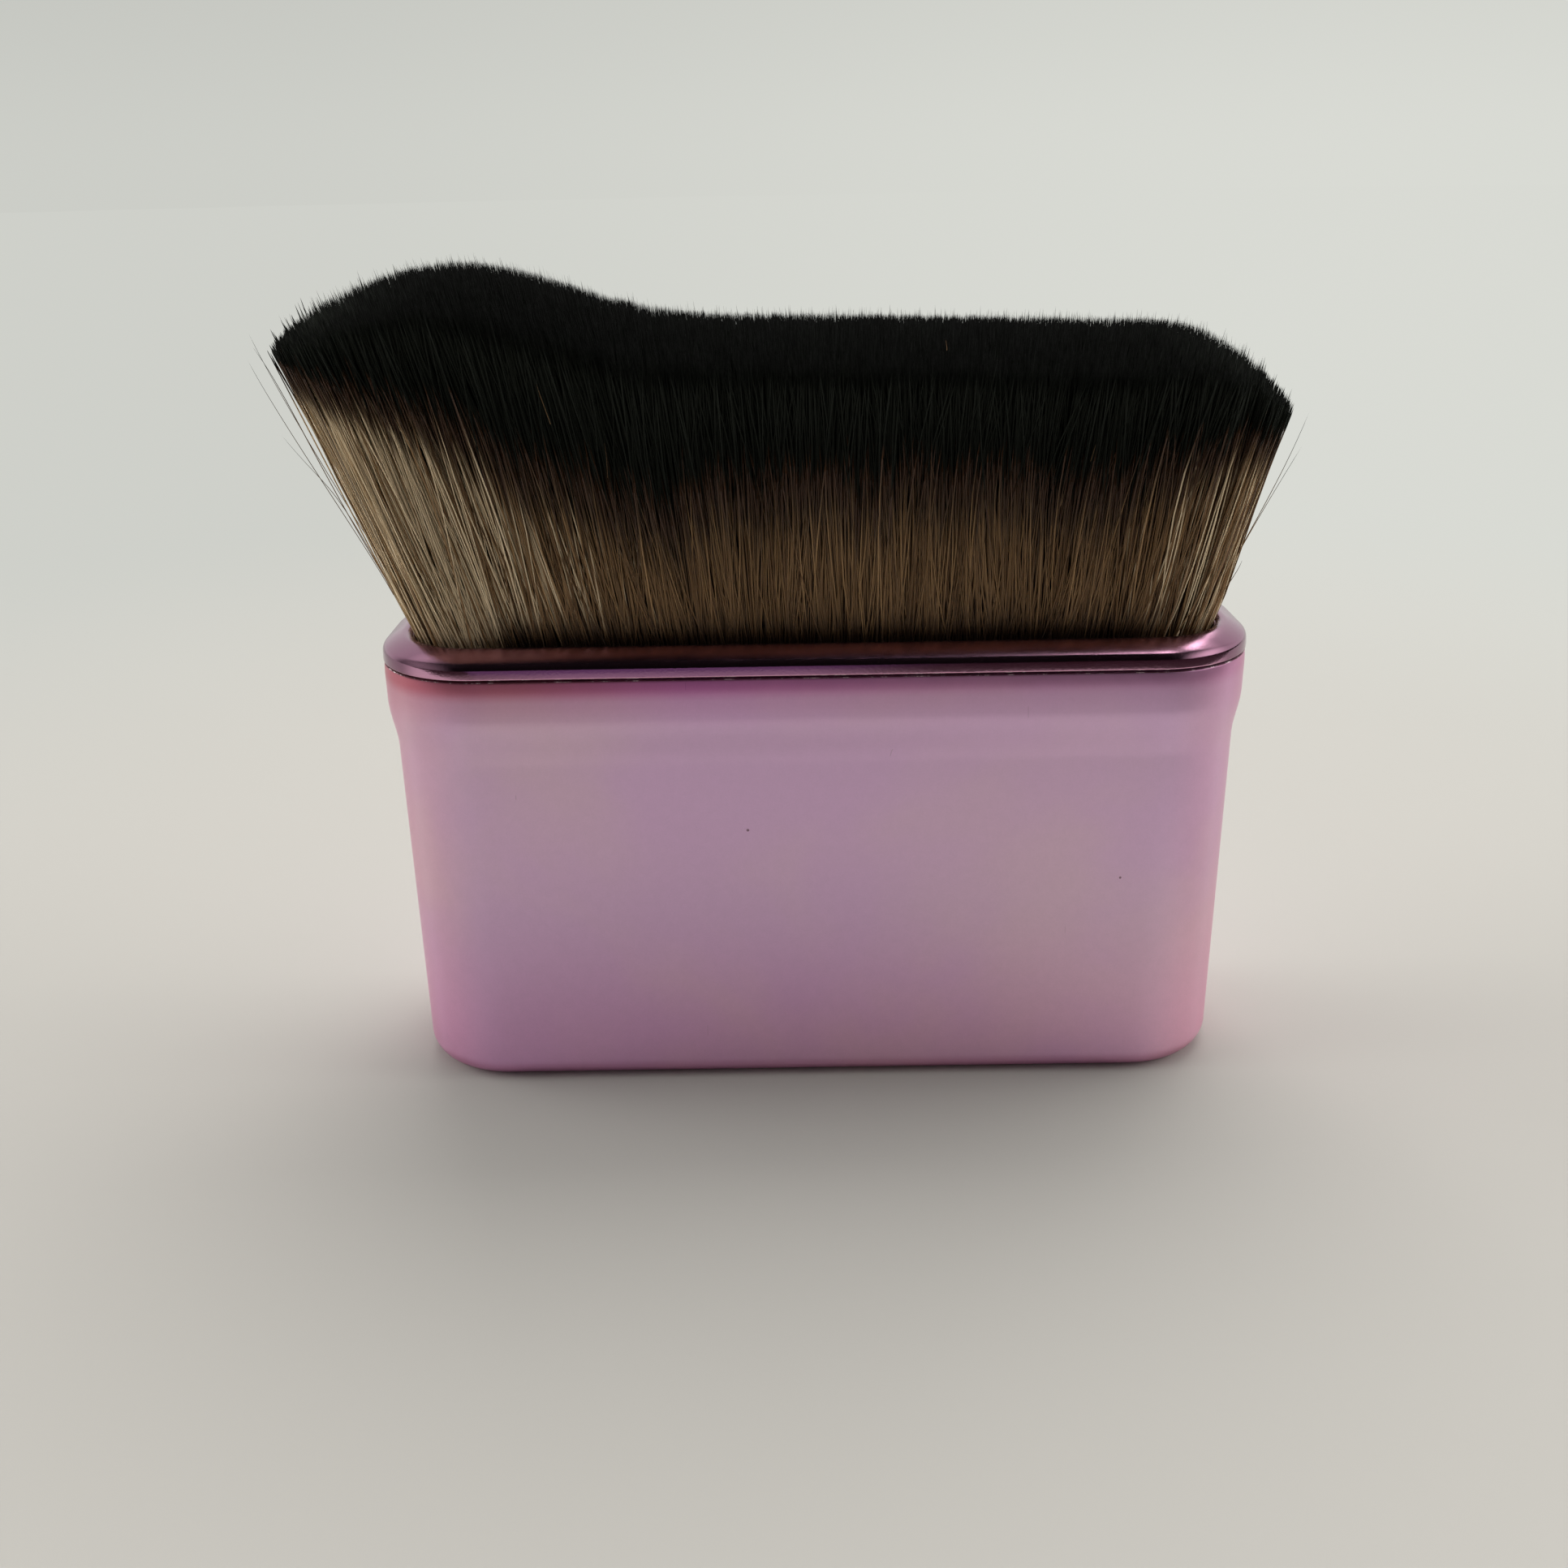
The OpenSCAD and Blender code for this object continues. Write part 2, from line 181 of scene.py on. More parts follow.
class BrushFinishColours(PropertyGroup):
    """Colours of the finishes."""

    handle: colour("Handle", "Metallised lacquer of the handle", (0.745, 0.485, 0.725))
    # Painted reflection: the next two dim the lacquer under the seam to a deeper red, for the dark room that it
    # reflects; the second is for the left end
    seam_painted_reflection: colour("Seam shade", "Share of the lacquer's colour that is left at the seam", (0.78, 0.35, 0.57))
    seam_painted_reflection_left: colour("Seam shade, left", "The same at the left end", (0.76, 0.34, 0.36))
    handle_haze: colour("Handle haze", "Hazy patches on the lacquer", (0.80, 0.56, 0.685))
    collar: colour("Collar", "Bright metallised lacquer of the collar", (0.70, 0.36, 0.52))
    mark: colour("Mark", "Dust specks and hairline scratches", (0.12, 0.05, 0.07))
    # Painted light: makes the lacquer brighter low down
    low_painted_light: colour("Painted low light", "Share of the lacquer's colour that is left low down", (1.10, 0.94, 1.03))
    # Painted reflection: tints the lacquer round the curved ends pinker
    end_painted_reflection: colour("Painted end reflection", "The same round the ends", (0.93, 0.85, 0.825))
    # Painted shade: makes the lacquer darker and pinker at the far ends and round the base
    rim_painted_shade: colour("Painted rim shade", "The same at the far ends and round the base", (0.88, 0.68, 0.76))
    # Painted shade: darkens the collar's top beside the bristles
    collar_painted_shade: colour("Painted collar shade", "The same on the collar beside the bristles", (0.42, 0.40, 0.42))
    # Painted highlight and shade: pale glints on the seam's bevels, and dark stretches between
    seam_glint_painted: colour("Painted seam glint", "Pale bare edge along the seam", (0.95, 0.82, 0.83))
    seam_shade_painted: colour("Painted seam shade", "Dark stretches of that edge", (0.16, 0.06, 0.08))
    taupe: colour("Taupe", "Undyed filament", (0.42, 0.250, 0.113))
    taupe_dark: colour("Dark taupe", "Darker undyed filament", (0.17, 0.087, 0.033))
    # Painted light: the pale taupe stands for filaments lit from the side at the ends
    taupe_side_lit: colour("Side-lit taupe", "Pale filament of the ends and loose filament", (0.84, 0.67, 0.445))
    # Painted shade: filaments in the depth between the locks are dark brown
    deep_shade: colour("Shade brown", "Filaments in the depth between the locks", (0.115, 0.052, 0.022))
    brown: colour("Brown", "Filament where the dye starts", (0.07, 0.030, 0.014))
    dye: colour("Dye", "Dyed tips", (0.0024, 0.0027, 0.0022))
    cup: colour("Cup", "Black plastic of the cup", (0.02, 0.02, 0.022))
    resin: colour("Resin", "Set casting resin", (0.42, 0.30, 0.14))
    glue: colour("Glue", "Cured glue", (0.72, 0.66, 0.54))


class BrushStageSettings(PropertyGroup):
    """Floor, light and camera."""

    floor: colour("Floor", "Colour of the floor near the brush", (0.52, 0.507, 0.477))
    backdrop: colour("Backdrop", "Colour of the far background", (0.672, 0.682, 0.638))
    room: colour("Room", "Dark room that the metal shows past the front of the floor", (0.03, 0.018, 0.020))
    sheet: colour("Sheet", "Dim sheet in that room", (0.13, 0.088, 0.17))
    camera_place: FloatVectorProperty(
        name="Camera place", description="Where the camera stands", subtype="TRANSLATION",
        size=3, unit="LENGTH", default=(-0.002024, -0.136375, 0.079043))
    camera_ahead: FloatVectorProperty(
        name="Camera aim", description="Direction that the camera looks in", subtype="DIRECTION",
        size=3, default=(-0.00568, 0.92927, -0.36934))
    camera_right: FloatVectorProperty(
        name="Camera right", description="Direction of the image's right side", subtype="DIRECTION",
        size=3, default=(0.99986, -0.00063, -0.01697))
    lamp_power: share("Lamp power", "Power of the soft lamp, in watts", 12.0)
    lamp_tint: colour("Lamp tint", "Colour of the soft lamp", (1.0, 0.985, 0.955))
    ambient_tint: colour("Ambient tint", "Colour of the light from all round", (1.0, 0.995, 0.97))
    mirror_tint: colour("Mirror tint", "Colour of the backdrop in reflections", (0.95, 0.96, 0.93))
    ambient: share("Ambient", "Strength of the light from all round", 1.0)


# ---------------------------------------------------------------- shapes


def eased(t):
    """A share from 0 to 1 that starts and ends smoothly: half of one minus the cosine of half a turn."""
    return (1 - np.cos(np.pi * t)) / 2


def arc(mid, radius, start, end, steps):
    """Points of a circle's arc: the middle plus the radius times the cosine and sine of the angle in degrees."""
    angle = np.radians(np.linspace(start, end, steps))
    return np.array(mid) + radius * np.stack([np.cos(angle), np.sin(angle)], 1)


def bent(lengths, angles, steps=12):
    """Points of a line from nought that turns evenly: along each length its angle goes from one given angle to the
    next. Each point adds its step times the sine of the angle, inwards, and times the cosine, upwards."""
    edges = np.linspace(0, 1, steps + 1)
    middle = (edges[1:] + edges[:-1]) / 2
    angle = np.radians(np.concatenate([a + (b - a) * middle for a, b in zip(angles[:-1], angles[1:])]))
    step = np.repeat(np.array(lengths) / steps, steps)
    moves = np.stack([step * np.sin(angle), step * np.cos(angle)], 1)
    return np.concatenate([[[0.0, 0.0]], np.cumsum(moves, 0)])


def outline_path(half_x, half_y, turn_steps=28, long_steps=90, short_steps=8):
    """The path round a rounded rectangle, counter-clockwise from the right: core points and outward directions.

    At each corner the core point stays and the direction turns through a quarter of a circle. Along each side
    the direction stays and the core point moves evenly to the next corner.
    """
    turn = np.linspace(0, np.pi / 2, turn_steps + 1)
    corners = np.array([[half_x, half_y], [-half_x, half_y], [-half_x, -half_y], [half_x, -half_y]])
    places, ways = [], []
    for k, steps in enumerate([long_steps, short_steps, long_steps, short_steps]):
        angle = turn + k * np.pi / 2
        way = np.stack([np.cos(angle), np.sin(angle)], 1)
        along = np.linspace(0, 1, steps + 1)[1:-1, None]
        places += [np.repeat(corners[k][None], len(turn), 0),
                   corners[k] + along * (corners[(k + 1) % 4] - corners[k])]
        ways += [way, np.repeat(way[-1:], steps - 1, 0)]
    return np.concatenate(places), np.concatenate(ways)


def carried(profile, handle):
    """Carries a profile of reach and height round the handle's outline: each point is the core point plus the reach
    times the outward direction, at the profile's height."""
    places, ways = outline_path(handle.width / 2 - handle.corner, handle.depth / 2 - handle.corner)
    flat = places[None] + profile[:, None, :1] * ways[None]
    height = np.broadcast_to(profile[:, None, 1:2], flat.shape[:2] + (1,))
    return np.concatenate([flat, height], 2)


def grid_faces(rows, columns, close_rows=False):
    """Four corners for each cell of a grid of points, whose rows are closed round. With close_rows the last row
    joins the first."""
    i, j = np.indices((rows if close_rows else rows - 1, columns)).reshape(2, -1)
    up, on = (i + 1) % rows, (j + 1) % columns
    return np.stack([i * columns + j, i * columns + on, up * columns + on, up * columns + j], 1)


def capped(grid):
    """Points, corners and face sizes of a stack of rings with one face across each end."""
    rows, columns = grid.shape[:2]
    quads, ring = grid_faces(rows, columns), np.arange(columns)
    corners = np.concatenate([quads.ravel(), ring[::-1], (rows - 1) * columns + ring])
    return grid.reshape(-1, 3), corners, np.repeat([4, columns], [len(quads), 2])


def marked(rows, columns, first, last):
    """1 for each face in the rows from first up to last, and 0 for the others."""
    row = np.arange(rows)
    return np.repeat((row >= first) & (row < last), columns).astype(int)


def held(points, near=0.00002):
    """Adds a point on each side of every sharp point of a profile, so that smooth shading keeps it crisp: the point
    less a short step along the line before it, and plus one along the line after it."""
    step = np.diff(points, axis=0)
    length = np.maximum(np.linalg.norm(step, axis=1, keepdims=True), 1e-9)
    way = step / length
    gap = np.minimum(near, length * 0.3)
    sharp = np.ones(len(points), bool)
    sharp[1:-1] = (way[1:] * way[:-1]).sum(1) < 0.97
    before = np.vstack([points[:1], points[1:] - way * gap])
    after = np.vstack([points[:-1] + way * gap, points[-1:]])
    kept = np.stack([sharp, np.ones(len(points), bool), sharp], 1)
    kept[0, 0] = kept[-1, 2] = False
    return np.stack([before, points, after], 1)[kept]


def new_piece(name, slot, points, corners, face_sizes, finishes, face_finish=None, uv=None):
    """Puts arrays of points and faces into a new smooth mesh object that rides on the brush."""
    mesh = bpy.data.meshes.new(name)
    mesh.vertices.add(len(points))
    mesh.vertices.foreach_set("co", np.ascontiguousarray(points, np.float32).ravel())
    mesh.loops.add(len(corners))
    mesh.loops.foreach_set("vertex_index", np.ascontiguousarray(corners, np.int32))
    starts = np.concatenate([[0], np.cumsum(face_sizes)[:-1]]).astype(np.int32)
    mesh.polygons.add(len(face_sizes))
    mesh.polygons.foreach_set("loop_start", starts)
    if uv is not None:
        layer = mesh.uv_layers.new(name="OFBake")
        layer.data.foreach_set("uv", np.ascontiguousarray(uv, np.float32).ravel())
    for finish in finishes:
        mesh.materials.append(finish)
    if face_finish is not None:
        mesh.polygons.foreach_set("material_index", np.ascontiguousarray(face_finish, np.int32))
    mesh.update(calc_edges=True)
    mesh.shade_smooth()
    piece = bpy.data.objects.new(name, mesh)
    bpy.context.scene.collection.objects.link(piece)
    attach(piece, BODY)
    return piece


# ---------------------------------------------------------------- filaments

SIDES = 3  # sides of a filament
NOISE_CELLS = 128  # after so many cells the noise repeats
MAP_COLUMNS = 96  # columns of the filaments' map: ordinary ones, pale ones for painted side light and dark brown ones for painted shade, in the ranges below
ORDINARY, SIDE_LIT, DEEP_SHADE = (0, 56), (56, 64), (64, 96)
COLUMN_LOW, COLUMN_HIGH = 0.0015, 0.0089  # the stretch of a column's width that is used
FOOT_MAP, NEARLY = 0.004, 0.001  # height of a tube's foot in the map, and how little under a level counts as at it
DYE_PLACES = np.array([-45, -43, -41, -38, -32, -26, -19.6, -13.3, -11, -6.6, 0, 13, 26, 32, 36, 41]) * 0.001
DYE_DEPTHS = np.array([0.4, 1.2, 2.6, 4.6, 8.2, 11.9, 12.4, 13.0, 11.6, 9.6, 9.3, 9.1, 8.8, 6.4, 3.6, 1.4]) * 0.001
LEFT_TIP, RIGHT_TIP = -0.0457, 0.0412  # past these places the cut goes on level
LOCK_SHIFT = 0.35  # how far a lock's middle is moved, as a share of the lock
LOCK_MARGIN = 0.0003  # how far inside the packed root a lock's middle stays
TUFT_WANDER, TUFT_SHIFT = 0.6, 0.4  # how far a large lock's joints and middle are moved, as shares of it
WIDEST_OWN, WIDEST_DYE = 2.2, 2.5  # the widest deviation of a single filament and of its dye, in standard ones
SPIKE_CHANCE, LEAST_SPIKE = 0.05, 0.2  # chance of a standing tip, and the least that it stands up, as a share
FLUFF = 0.00014  # height of the tufts that tips form
BROAD_DRIFT = 0.9  # drift of neighbouring locks together, as a share of a lock's own
# What there is in depth of each of these, as a share of what there is along the width
DEPTH_DRIFT, DEPTH_STRAY, DEPTH_BOW, DEPTH_GATHER = 0.45, 0.5, 0.6, 0.6
HELD_BACK = 0.8  # share of a move across the surface that is taken away there
LOCK_HUMP, TUFT_HUMP = (0.9, 1.6), (1.5, 1.4)  # powers of the rise and fall with which locks gather
LEFT_POWER, RIGHT_POWER = 2.6, 2.2  # powers of the cut's rounding at both ends
LEFT_FAN, RIGHT_FAN = 0.2, 0.45  # shares of the half width that the two fans start at
LEFT_FAN_POWER, RIGHT_FAN_POWER = 1.3, 1.8
# Start and length, towards the left and the right end, of the rises of the pale filaments for painted side light and
# of the feet out of the painted shade, both in shares of the half width, and of the raggedness of the cut
SIDE_LIGHT_LEFT, SIDE_LIGHT_RIGHT = (0.30, 0.62), (0.88, 0.12)
BARE_LEFT, BARE_RIGHT = (0.80, 0.17), (0.90, 0.10)
RAGGED_LEFT, RAGGED_RIGHT = (0.033, 0.010), (0.032, 0.008)
SIDE_LIGHT_POWER, SIDE_LIGHT_MOST, RAGGED_MOST = 2.2, 0.55, 0.8  # power of the first at the left, and most at the right
DYE_LEVEL, FADE_LEVEL = 0.5, 0.2  # levels at the dye's start and at the foot of the fade below it, over which painted shade comes in
END_FADE = 0.45  # how much shorter the fade, with its painted shade, is at the ends
DYE_PATCH, DYE_OWN = 0.0009, 0.0011  # unevenness of the dye's start, in patches and of single filaments
SHORT_DYE, LEAST_UNEVEN = 0.007, 0.2  # dye shorter than this starts more evenly, down to this share
LEAST_START, MOST_START = 0.2, 0.985  # shares of the length between which the dye starts
# Stretches of the width and the depth over which the noise of each of these goes from one value to the next
TUFT_SPAN, DRIFT_SPAN, FLUFF_SPAN, DYE_SPAN = (0.006, 0.0012), (0.004, 0.005), (0.00038, 0.0009), (0.0016, 0.002)
OUTER_LEVELS = np.array([0, 0.03, 0.12, 0.22, 0.32, 0.41, 0.5, 0.68, 0.86, 1.0])
INNER_SHARES = np.array([0, 0.4, 0.75, 1.0])
# The four places that each loose hair runs smoothly through: six hairs stand off the left end, four off the
# right end, and the rest lie over the dyed front
HAIRS = np.array([
    [[-36.0, -5.0, 45.0], [-40.0, -6.4, 55.0], [-42.5, -7.0, 61.6], [-44.6, -7.2, 66.0]],
    [[-36.0, -5.4, 45.0], [-38.7, -6.5, 51.4], [-42.2, -7.2, 58.7], [-45.0, -7.6, 65.0]],
    [[-35.8, -5.2, 44.5], [-38.9, -6.1, 52.2], [-40.9, -6.3, 55.4], [-43.5, -6.4, 58.9]],
    [[-36.0, -3.0, 45.0], [-39.3, -4.0, 52.2], [-42.8, -4.8, 60.2], [-45.4, -5.2, 66.8]],
    [[-36.2, 1.5, 45.0], [-39.2, 2.0, 52.2], [-42.6, 2.4, 60.8], [-45.3, 2.8, 67.6]],
    [[-35.6, 4.6, 45.0], [-38.6, 5.6, 52.2], [-41.8, 6.4, 60.0], [-44.2, 7.0, 65.4]],
    [[34.6, -4.6, 43.0], [35.9, -4.9, 46.6], [38.4, -5.2, 52.4], [40.8, -5.6, 59.1]],
    [[34.4, -5.0, 42.6], [35.4, -5.2, 45.6], [37.4, -5.5, 50.2], [40.4, -6.0, 56.5]],
    [[34.0, -5.2, 42.0], [35.2, -5.9, 44.6], [35.9, -6.1, 46.0], [36.3, -6.1, 47.0]],
    [[34.8, 3.4, 44.0], [36.3, 4.2, 48.0], [38.6, 4.8, 53.6], [40.6, 5.4, 58.2]],
    [[-20.7, -10.75, 60.0], [-20.9, -10.80, 60.7], [-21.3, -11.05, 62.2], [-21.5, -11.30, 63.2]],
    [[-16.5, -10.25, 55.6], [-16.5, -10.35, 56.4], [-16.5, -10.50, 57.5], [-16.6, -10.65, 58.5]],
    [[9.7, -10.15, 55.0], [9.65, -10.20, 55.5], [9.5, -10.30, 56.1], [9.4, -10.40, 56.7]],
    [[10.4, -11.40, 65.2], [10.4, -11.42, 65.4], [10.35, -11.46, 65.7], [10.3, -11.50, 66.0]],
    [[20.0, -9.85, 52.6], [20.1, -9.90, 52.9], [20.15, -9.95, 53.3], [20.2, -10.0, 53.7]],
    [[22.2, -10.30, 56.3], [22.3, -10.35, 56.7], [22.4, -10.45, 57.2], [22.5, -10.50, 57.7]],
]) * 0.001
FRONT_HAIRS = 10  # the first of the hairs that lie over the front
FRONT_THICK, END_THICK = 0.000036, 0.00008  # thickness of a loose hair over the front and at the ends
CORE_SUNK = 0.0009  # how far the dark middle of the head starts below the cup's rim
CORE_RINGS, TOP_RINGS = 14, 8  # rings of points up its side, and from there to the middle of its top
CORE_MIDDLE = 0.25  # length of the innermost of these, as a share of the straight stretch


def lattice_noise(x, y, seed):
    """Smooth noise from -1 to 1: random values on the whole numbers of x and y, blended smoothly between them."""
    table = np.random.default_rng(seed).uniform(-1, 1, (NOISE_CELLS, NOISE_CELLS))
    xi, yi = np.floor(x).astype(int), np.floor(y).astype(int)
    tx, ty = x - xi, y - yi
    tx, ty = tx * tx * (3 - 2 * tx), ty * ty * (3 - 2 * ty)
    a, b, c, d = (table[(xi + right) % NOISE_CELLS, (yi + up) % NOISE_CELLS] for up in (0, 1) for right in (0, 1))
    return (a * (1 - tx) + b * tx) * (1 - ty) + (c * (1 - tx) + d * tx) * ty


def ramp(value, start, length):
    """A share that rises evenly from 0 at the start to 1 over a length."""
    return np.clip((value - start) / length, 0, 1)


def hump(s, lift, narrow):
    """A rise and fall over the length: the sine of half a turn times s to the power lift, to the power narrow."""
    return np.sin(np.pi * np.clip(s, 0, 1) ** lift) ** narrow


def half_sizes(head):
    """Half width and half depth of the packed root."""
    return head.root_x + head.root_round, head.root_y + head.root_round


def cut_height(head, x, y):
    """Height of the cut over x and y: a level stretch that slopes down a little, a bell-shaped wave,
    a power curve down at each end and a shallow dome from front to back."""
    half_x, half_y = half_sizes(head)
    left, right, side = half_x + head.fan_left, half_x + head.fan_right, half_y + head.fan_depth
    return (head.seam_z + head.height - head.slope * np.maximum(0, x)
            + head.wave * np.exp(-((x - head.wave_x) / head.wave_spread) ** 2 / 2)
            - head.left_fall * (np.maximum(0, head.left_round - left - x) / head.left_round) ** LEFT_POWER
            - head.right_fall * (np.maximum(0, x + head.right_round - right) / head.right_round) ** RIGHT_POWER
            - head.dome * (y / side) ** 2)


def half_root(head, y):
    """Half width of the packed root at a distance y from its middle: its straight stretch plus a circle's chord."""
    off = np.maximum(0, np.abs(y) - head.root_y)
    return head.root_x + np.sqrt(np.maximum(0, head.root_round ** 2 - off ** 2))


def lean(head, u, v):
    """Lean of a tip along the width, for shares u and v of the half width and depth: a power curve out to each end,
    a little less at the front and back."""
    left, right = np.maximum(0, LEFT_FAN - u) / (1 + LEFT_FAN), np.maximum(0, u - RIGHT_FAN) / (1 - RIGHT_FAN)
    return (1 - head.fan_round * v ** 2) * (head.fan_right * right ** RIGHT_FAN_POWER
                                            - head.fan_left * left ** LEFT_FAN_POWER)


def leaned(head, u, s):
    """Share of its lean that a filament has reached at a share s of its length: a power of s, one at each end."""
    return s ** np.where(u < 0, head.left_curve, head.right_curve)


def surface_bound(x, y, out_x, out_y):
    """Takes most of a move's part across the surface away: that part is the move times the outward direction."""
    reach = np.maximum(np.hypot(out_x, out_y), 1e-6)
    way_x, way_y = out_x / reach, out_y / reach
    across = (x * way_x + y * way_y) * HELD_BACK * np.clip(reach, 0, 1) ** 3
    return x - across * way_x, y - across * way_y


def side_light_share(u):
    """How much a filament belongs to the pale ends, whose paleness is painted side light: a power of the share u of
    the half width past the start of the left end, and an even rise over the last stretch at the right."""
    return ramp(-u, *SIDE_LIGHT_LEFT) ** SIDE_LIGHT_POWER + SIDE_LIGHT_MOST * ramp(u, *SIDE_LIGHT_RIGHT)


def bare_share(u):
    """How little the foot of a filament is darkened by painted shade: an even rise over a short stretch at each end.
    """
    return ramp(-u, *BARE_LEFT) + ramp(u, *BARE_RIGHT)


def shown_level(hair, s, start, length, u):
    """The level that the finish reads: 0.5 at the dye's start, down to 0.2 over the fade below it, and on down to 0
    over the foot, but less far at the ends; the finish paints shade over the fade and at the foot. Above the dye's
    start it runs evenly up to 1 at the tip."""
    fade = hair.fade * (1 - END_FADE * bare_share(u))
    below = DYE_LEVEL - (DYE_LEVEL - FADE_LEVEL) * (start - s) * length / fade
    foot = FADE_LEVEL * np.clip(s * length / hair.foot, bare_share(u), 1)
    above = DYE_LEVEL + (1 - DYE_LEVEL) * (s - start) / (1 - start)
    return np.where(s < start, np.maximum(below, foot), above)


def filament_lines(head, hair, x, y, rng, levels=None, shares=None, wild=1.0, outward=0.0):
    """Centre lines of filaments, one row of points each, at given levels from 0 at the root over 0.5 where the dye
    starts to 1 at the tip, or at given shares of the length.

    A line runs from its root to its tip on the cut. To that come its lock's drift, which grows with height, the
    gathering of its small and its large lock, strongest partway up, its own drift and a bow. Returns the points,
    and the share of the length and the level for the finish at each of them.
    """
    def noise(x, y, number):
        """The smooth noise that has this number."""
        return lattice_noise(x, y, hair.seed + number)

    # Every value of a filament stands in a row of its own, beside which its levels run
    root_x, root_y, one_each = x[:, None], y[:, None], (len(x), 1)
    _, half_y = half_sizes(head)
    u, v = root_x / half_root(head, root_y), root_y / half_y
    # The lock that a filament belongs to, on a jittered lattice with every second row moved by half a lock
    row = np.floor(root_y / hair.lock_depth)
    column = np.floor(root_x / hair.lock_length + 0.5 * (row % 2))
    shift_x, shift_y, drift_x, drift_y = (noise(column, row, number) for number in (1, 2, 3, 5))
    limit_x, limit_y = half_root(head, root_y) - LOCK_MARGIN, half_y - LOCK_MARGIN
    lock_x = (column + 0.5 - 0.5 * (row % 2) + LOCK_SHIFT * shift_x) * hair.lock_length
    lock_y = (row + 0.5 + LOCK_SHIFT * shift_y) * hair.lock_depth
    # Larger locks, whose joints wander with depth, so that they part in wedges below the dye
    wander = TUFT_WANDER * noise(root_y / TUFT_SPAN[1] + 31.0, root_x / TUFT_SPAN[0], 8)
    tuft = np.floor(root_x / hair.tuft_length + wander)
    tuft_x = (tuft + 0.5 - wander + TUFT_SHIFT * noise(tuft, 0 * tuft, 9)) * hair.tuft_length
    lock_x, tuft_x = np.clip(lock_x, -limit_x, limit_x), np.clip(tuft_x, -limit_x, limit_x)
    lock_y = np.clip(lock_y, -limit_y, limit_y)
    drift_x = hair.drift * (drift_x + BROAD_DRIFT * noise(root_x / DRIFT_SPAN[0], root_y / DRIFT_SPAN[1], 4))
    drift_y = DEPTH_DRIFT * hair.drift * drift_y
    own = np.clip(rng.standard_normal((4, *one_each)), -WIDEST_OWN, WIDEST_OWN) * wild
    stray_x, stray_y = own[0] * hair.stray, own[1] * DEPTH_STRAY * hair.stray
    bow_x, bow_y = own[2] * hair.bow, own[3] * DEPTH_BOW * hair.bow

    # Drift and bow are held back across the surface, so that the outer filaments stay outside
    out_x = (root_x - np.clip(root_x, -head.root_x, head.root_x)) / head.root_round
    out_y = (root_y - np.clip(root_y, -head.root_y, head.root_y)) / head.root_round
    side_x, side_y = surface_bound(drift_x + stray_x, drift_y + stray_y, out_x, out_y)
    bow_x, bow_y = surface_bound(bow_x, bow_y, out_x, out_y)
    tip_x = root_x + lean(head, u, v) + side_x
    tip_y = root_y + head.fan_depth * v + side_y + outward * out_y
    # The cut is more uneven towards both ends
    ragged = 1 + ramp(-tip_x, *RAGGED_LEFT) + RAGGED_MOST * ramp(tip_x, *RAGGED_RIGHT)
    over = np.where(rng.random(one_each) < SPIKE_CHANCE, hair.spike * rng.uniform(LEAST_SPIKE, 1.0, one_each), 0.0)
    over = over + FLUFF * noise(tip_x / FLUFF_SPAN[0], tip_y / FLUFF_SPAN[1], 12)
    tip_z = (cut_height(head, np.clip(tip_x, LEFT_TIP, RIGHT_TIP), tip_y)
             + ragged * (hair.cut_jitter * rng.standard_normal(one_each) + over))
    length = tip_z - head.root_z
    dye = np.interp(tip_x, DYE_PLACES, DYE_DEPTHS)
    uneven = (DYE_PATCH * noise(tip_x / DYE_SPAN[0], root_y / DYE_SPAN[1], 6)
              + DYE_OWN * np.clip(rng.standard_normal(one_each), -WIDEST_DYE, WIDEST_DYE))
    # Where the dye is short its start is less uneven
    dye = dye + uneven * np.clip(dye / SHORT_DYE, LEAST_UNEVEN, 1)
    start = np.clip(1 - dye / length, LEAST_START, MOST_START)

    s = shares
    if shares is None:
        s = np.where(levels < DYE_LEVEL, 2 * levels * start, start + (2 * levels - 1) * (1 - start))
    gather, parted = hair.gather * hump(s, *LOCK_HUMP), hair.tuft_gather * hump(s, *TUFT_HUMP)
    arch = np.sin(np.pi * s)
    risen = 1 - np.exp(-length * s / head.swell_rise)
    x = (root_x + (tip_x - root_x) * leaned(head, u, s) + (lock_x - root_x) * gather + (tuft_x - root_x) * parted
         + bow_x * arch + head.swell * out_x * risen)
    y = root_y + (tip_y - root_y) * s + (lock_y - root_y) * gather * DEPTH_GATHER + bow_y * arch
    return np.stack([x, y, head.root_z + length * s], 2), s, shown_level(hair, s, start, length, u)


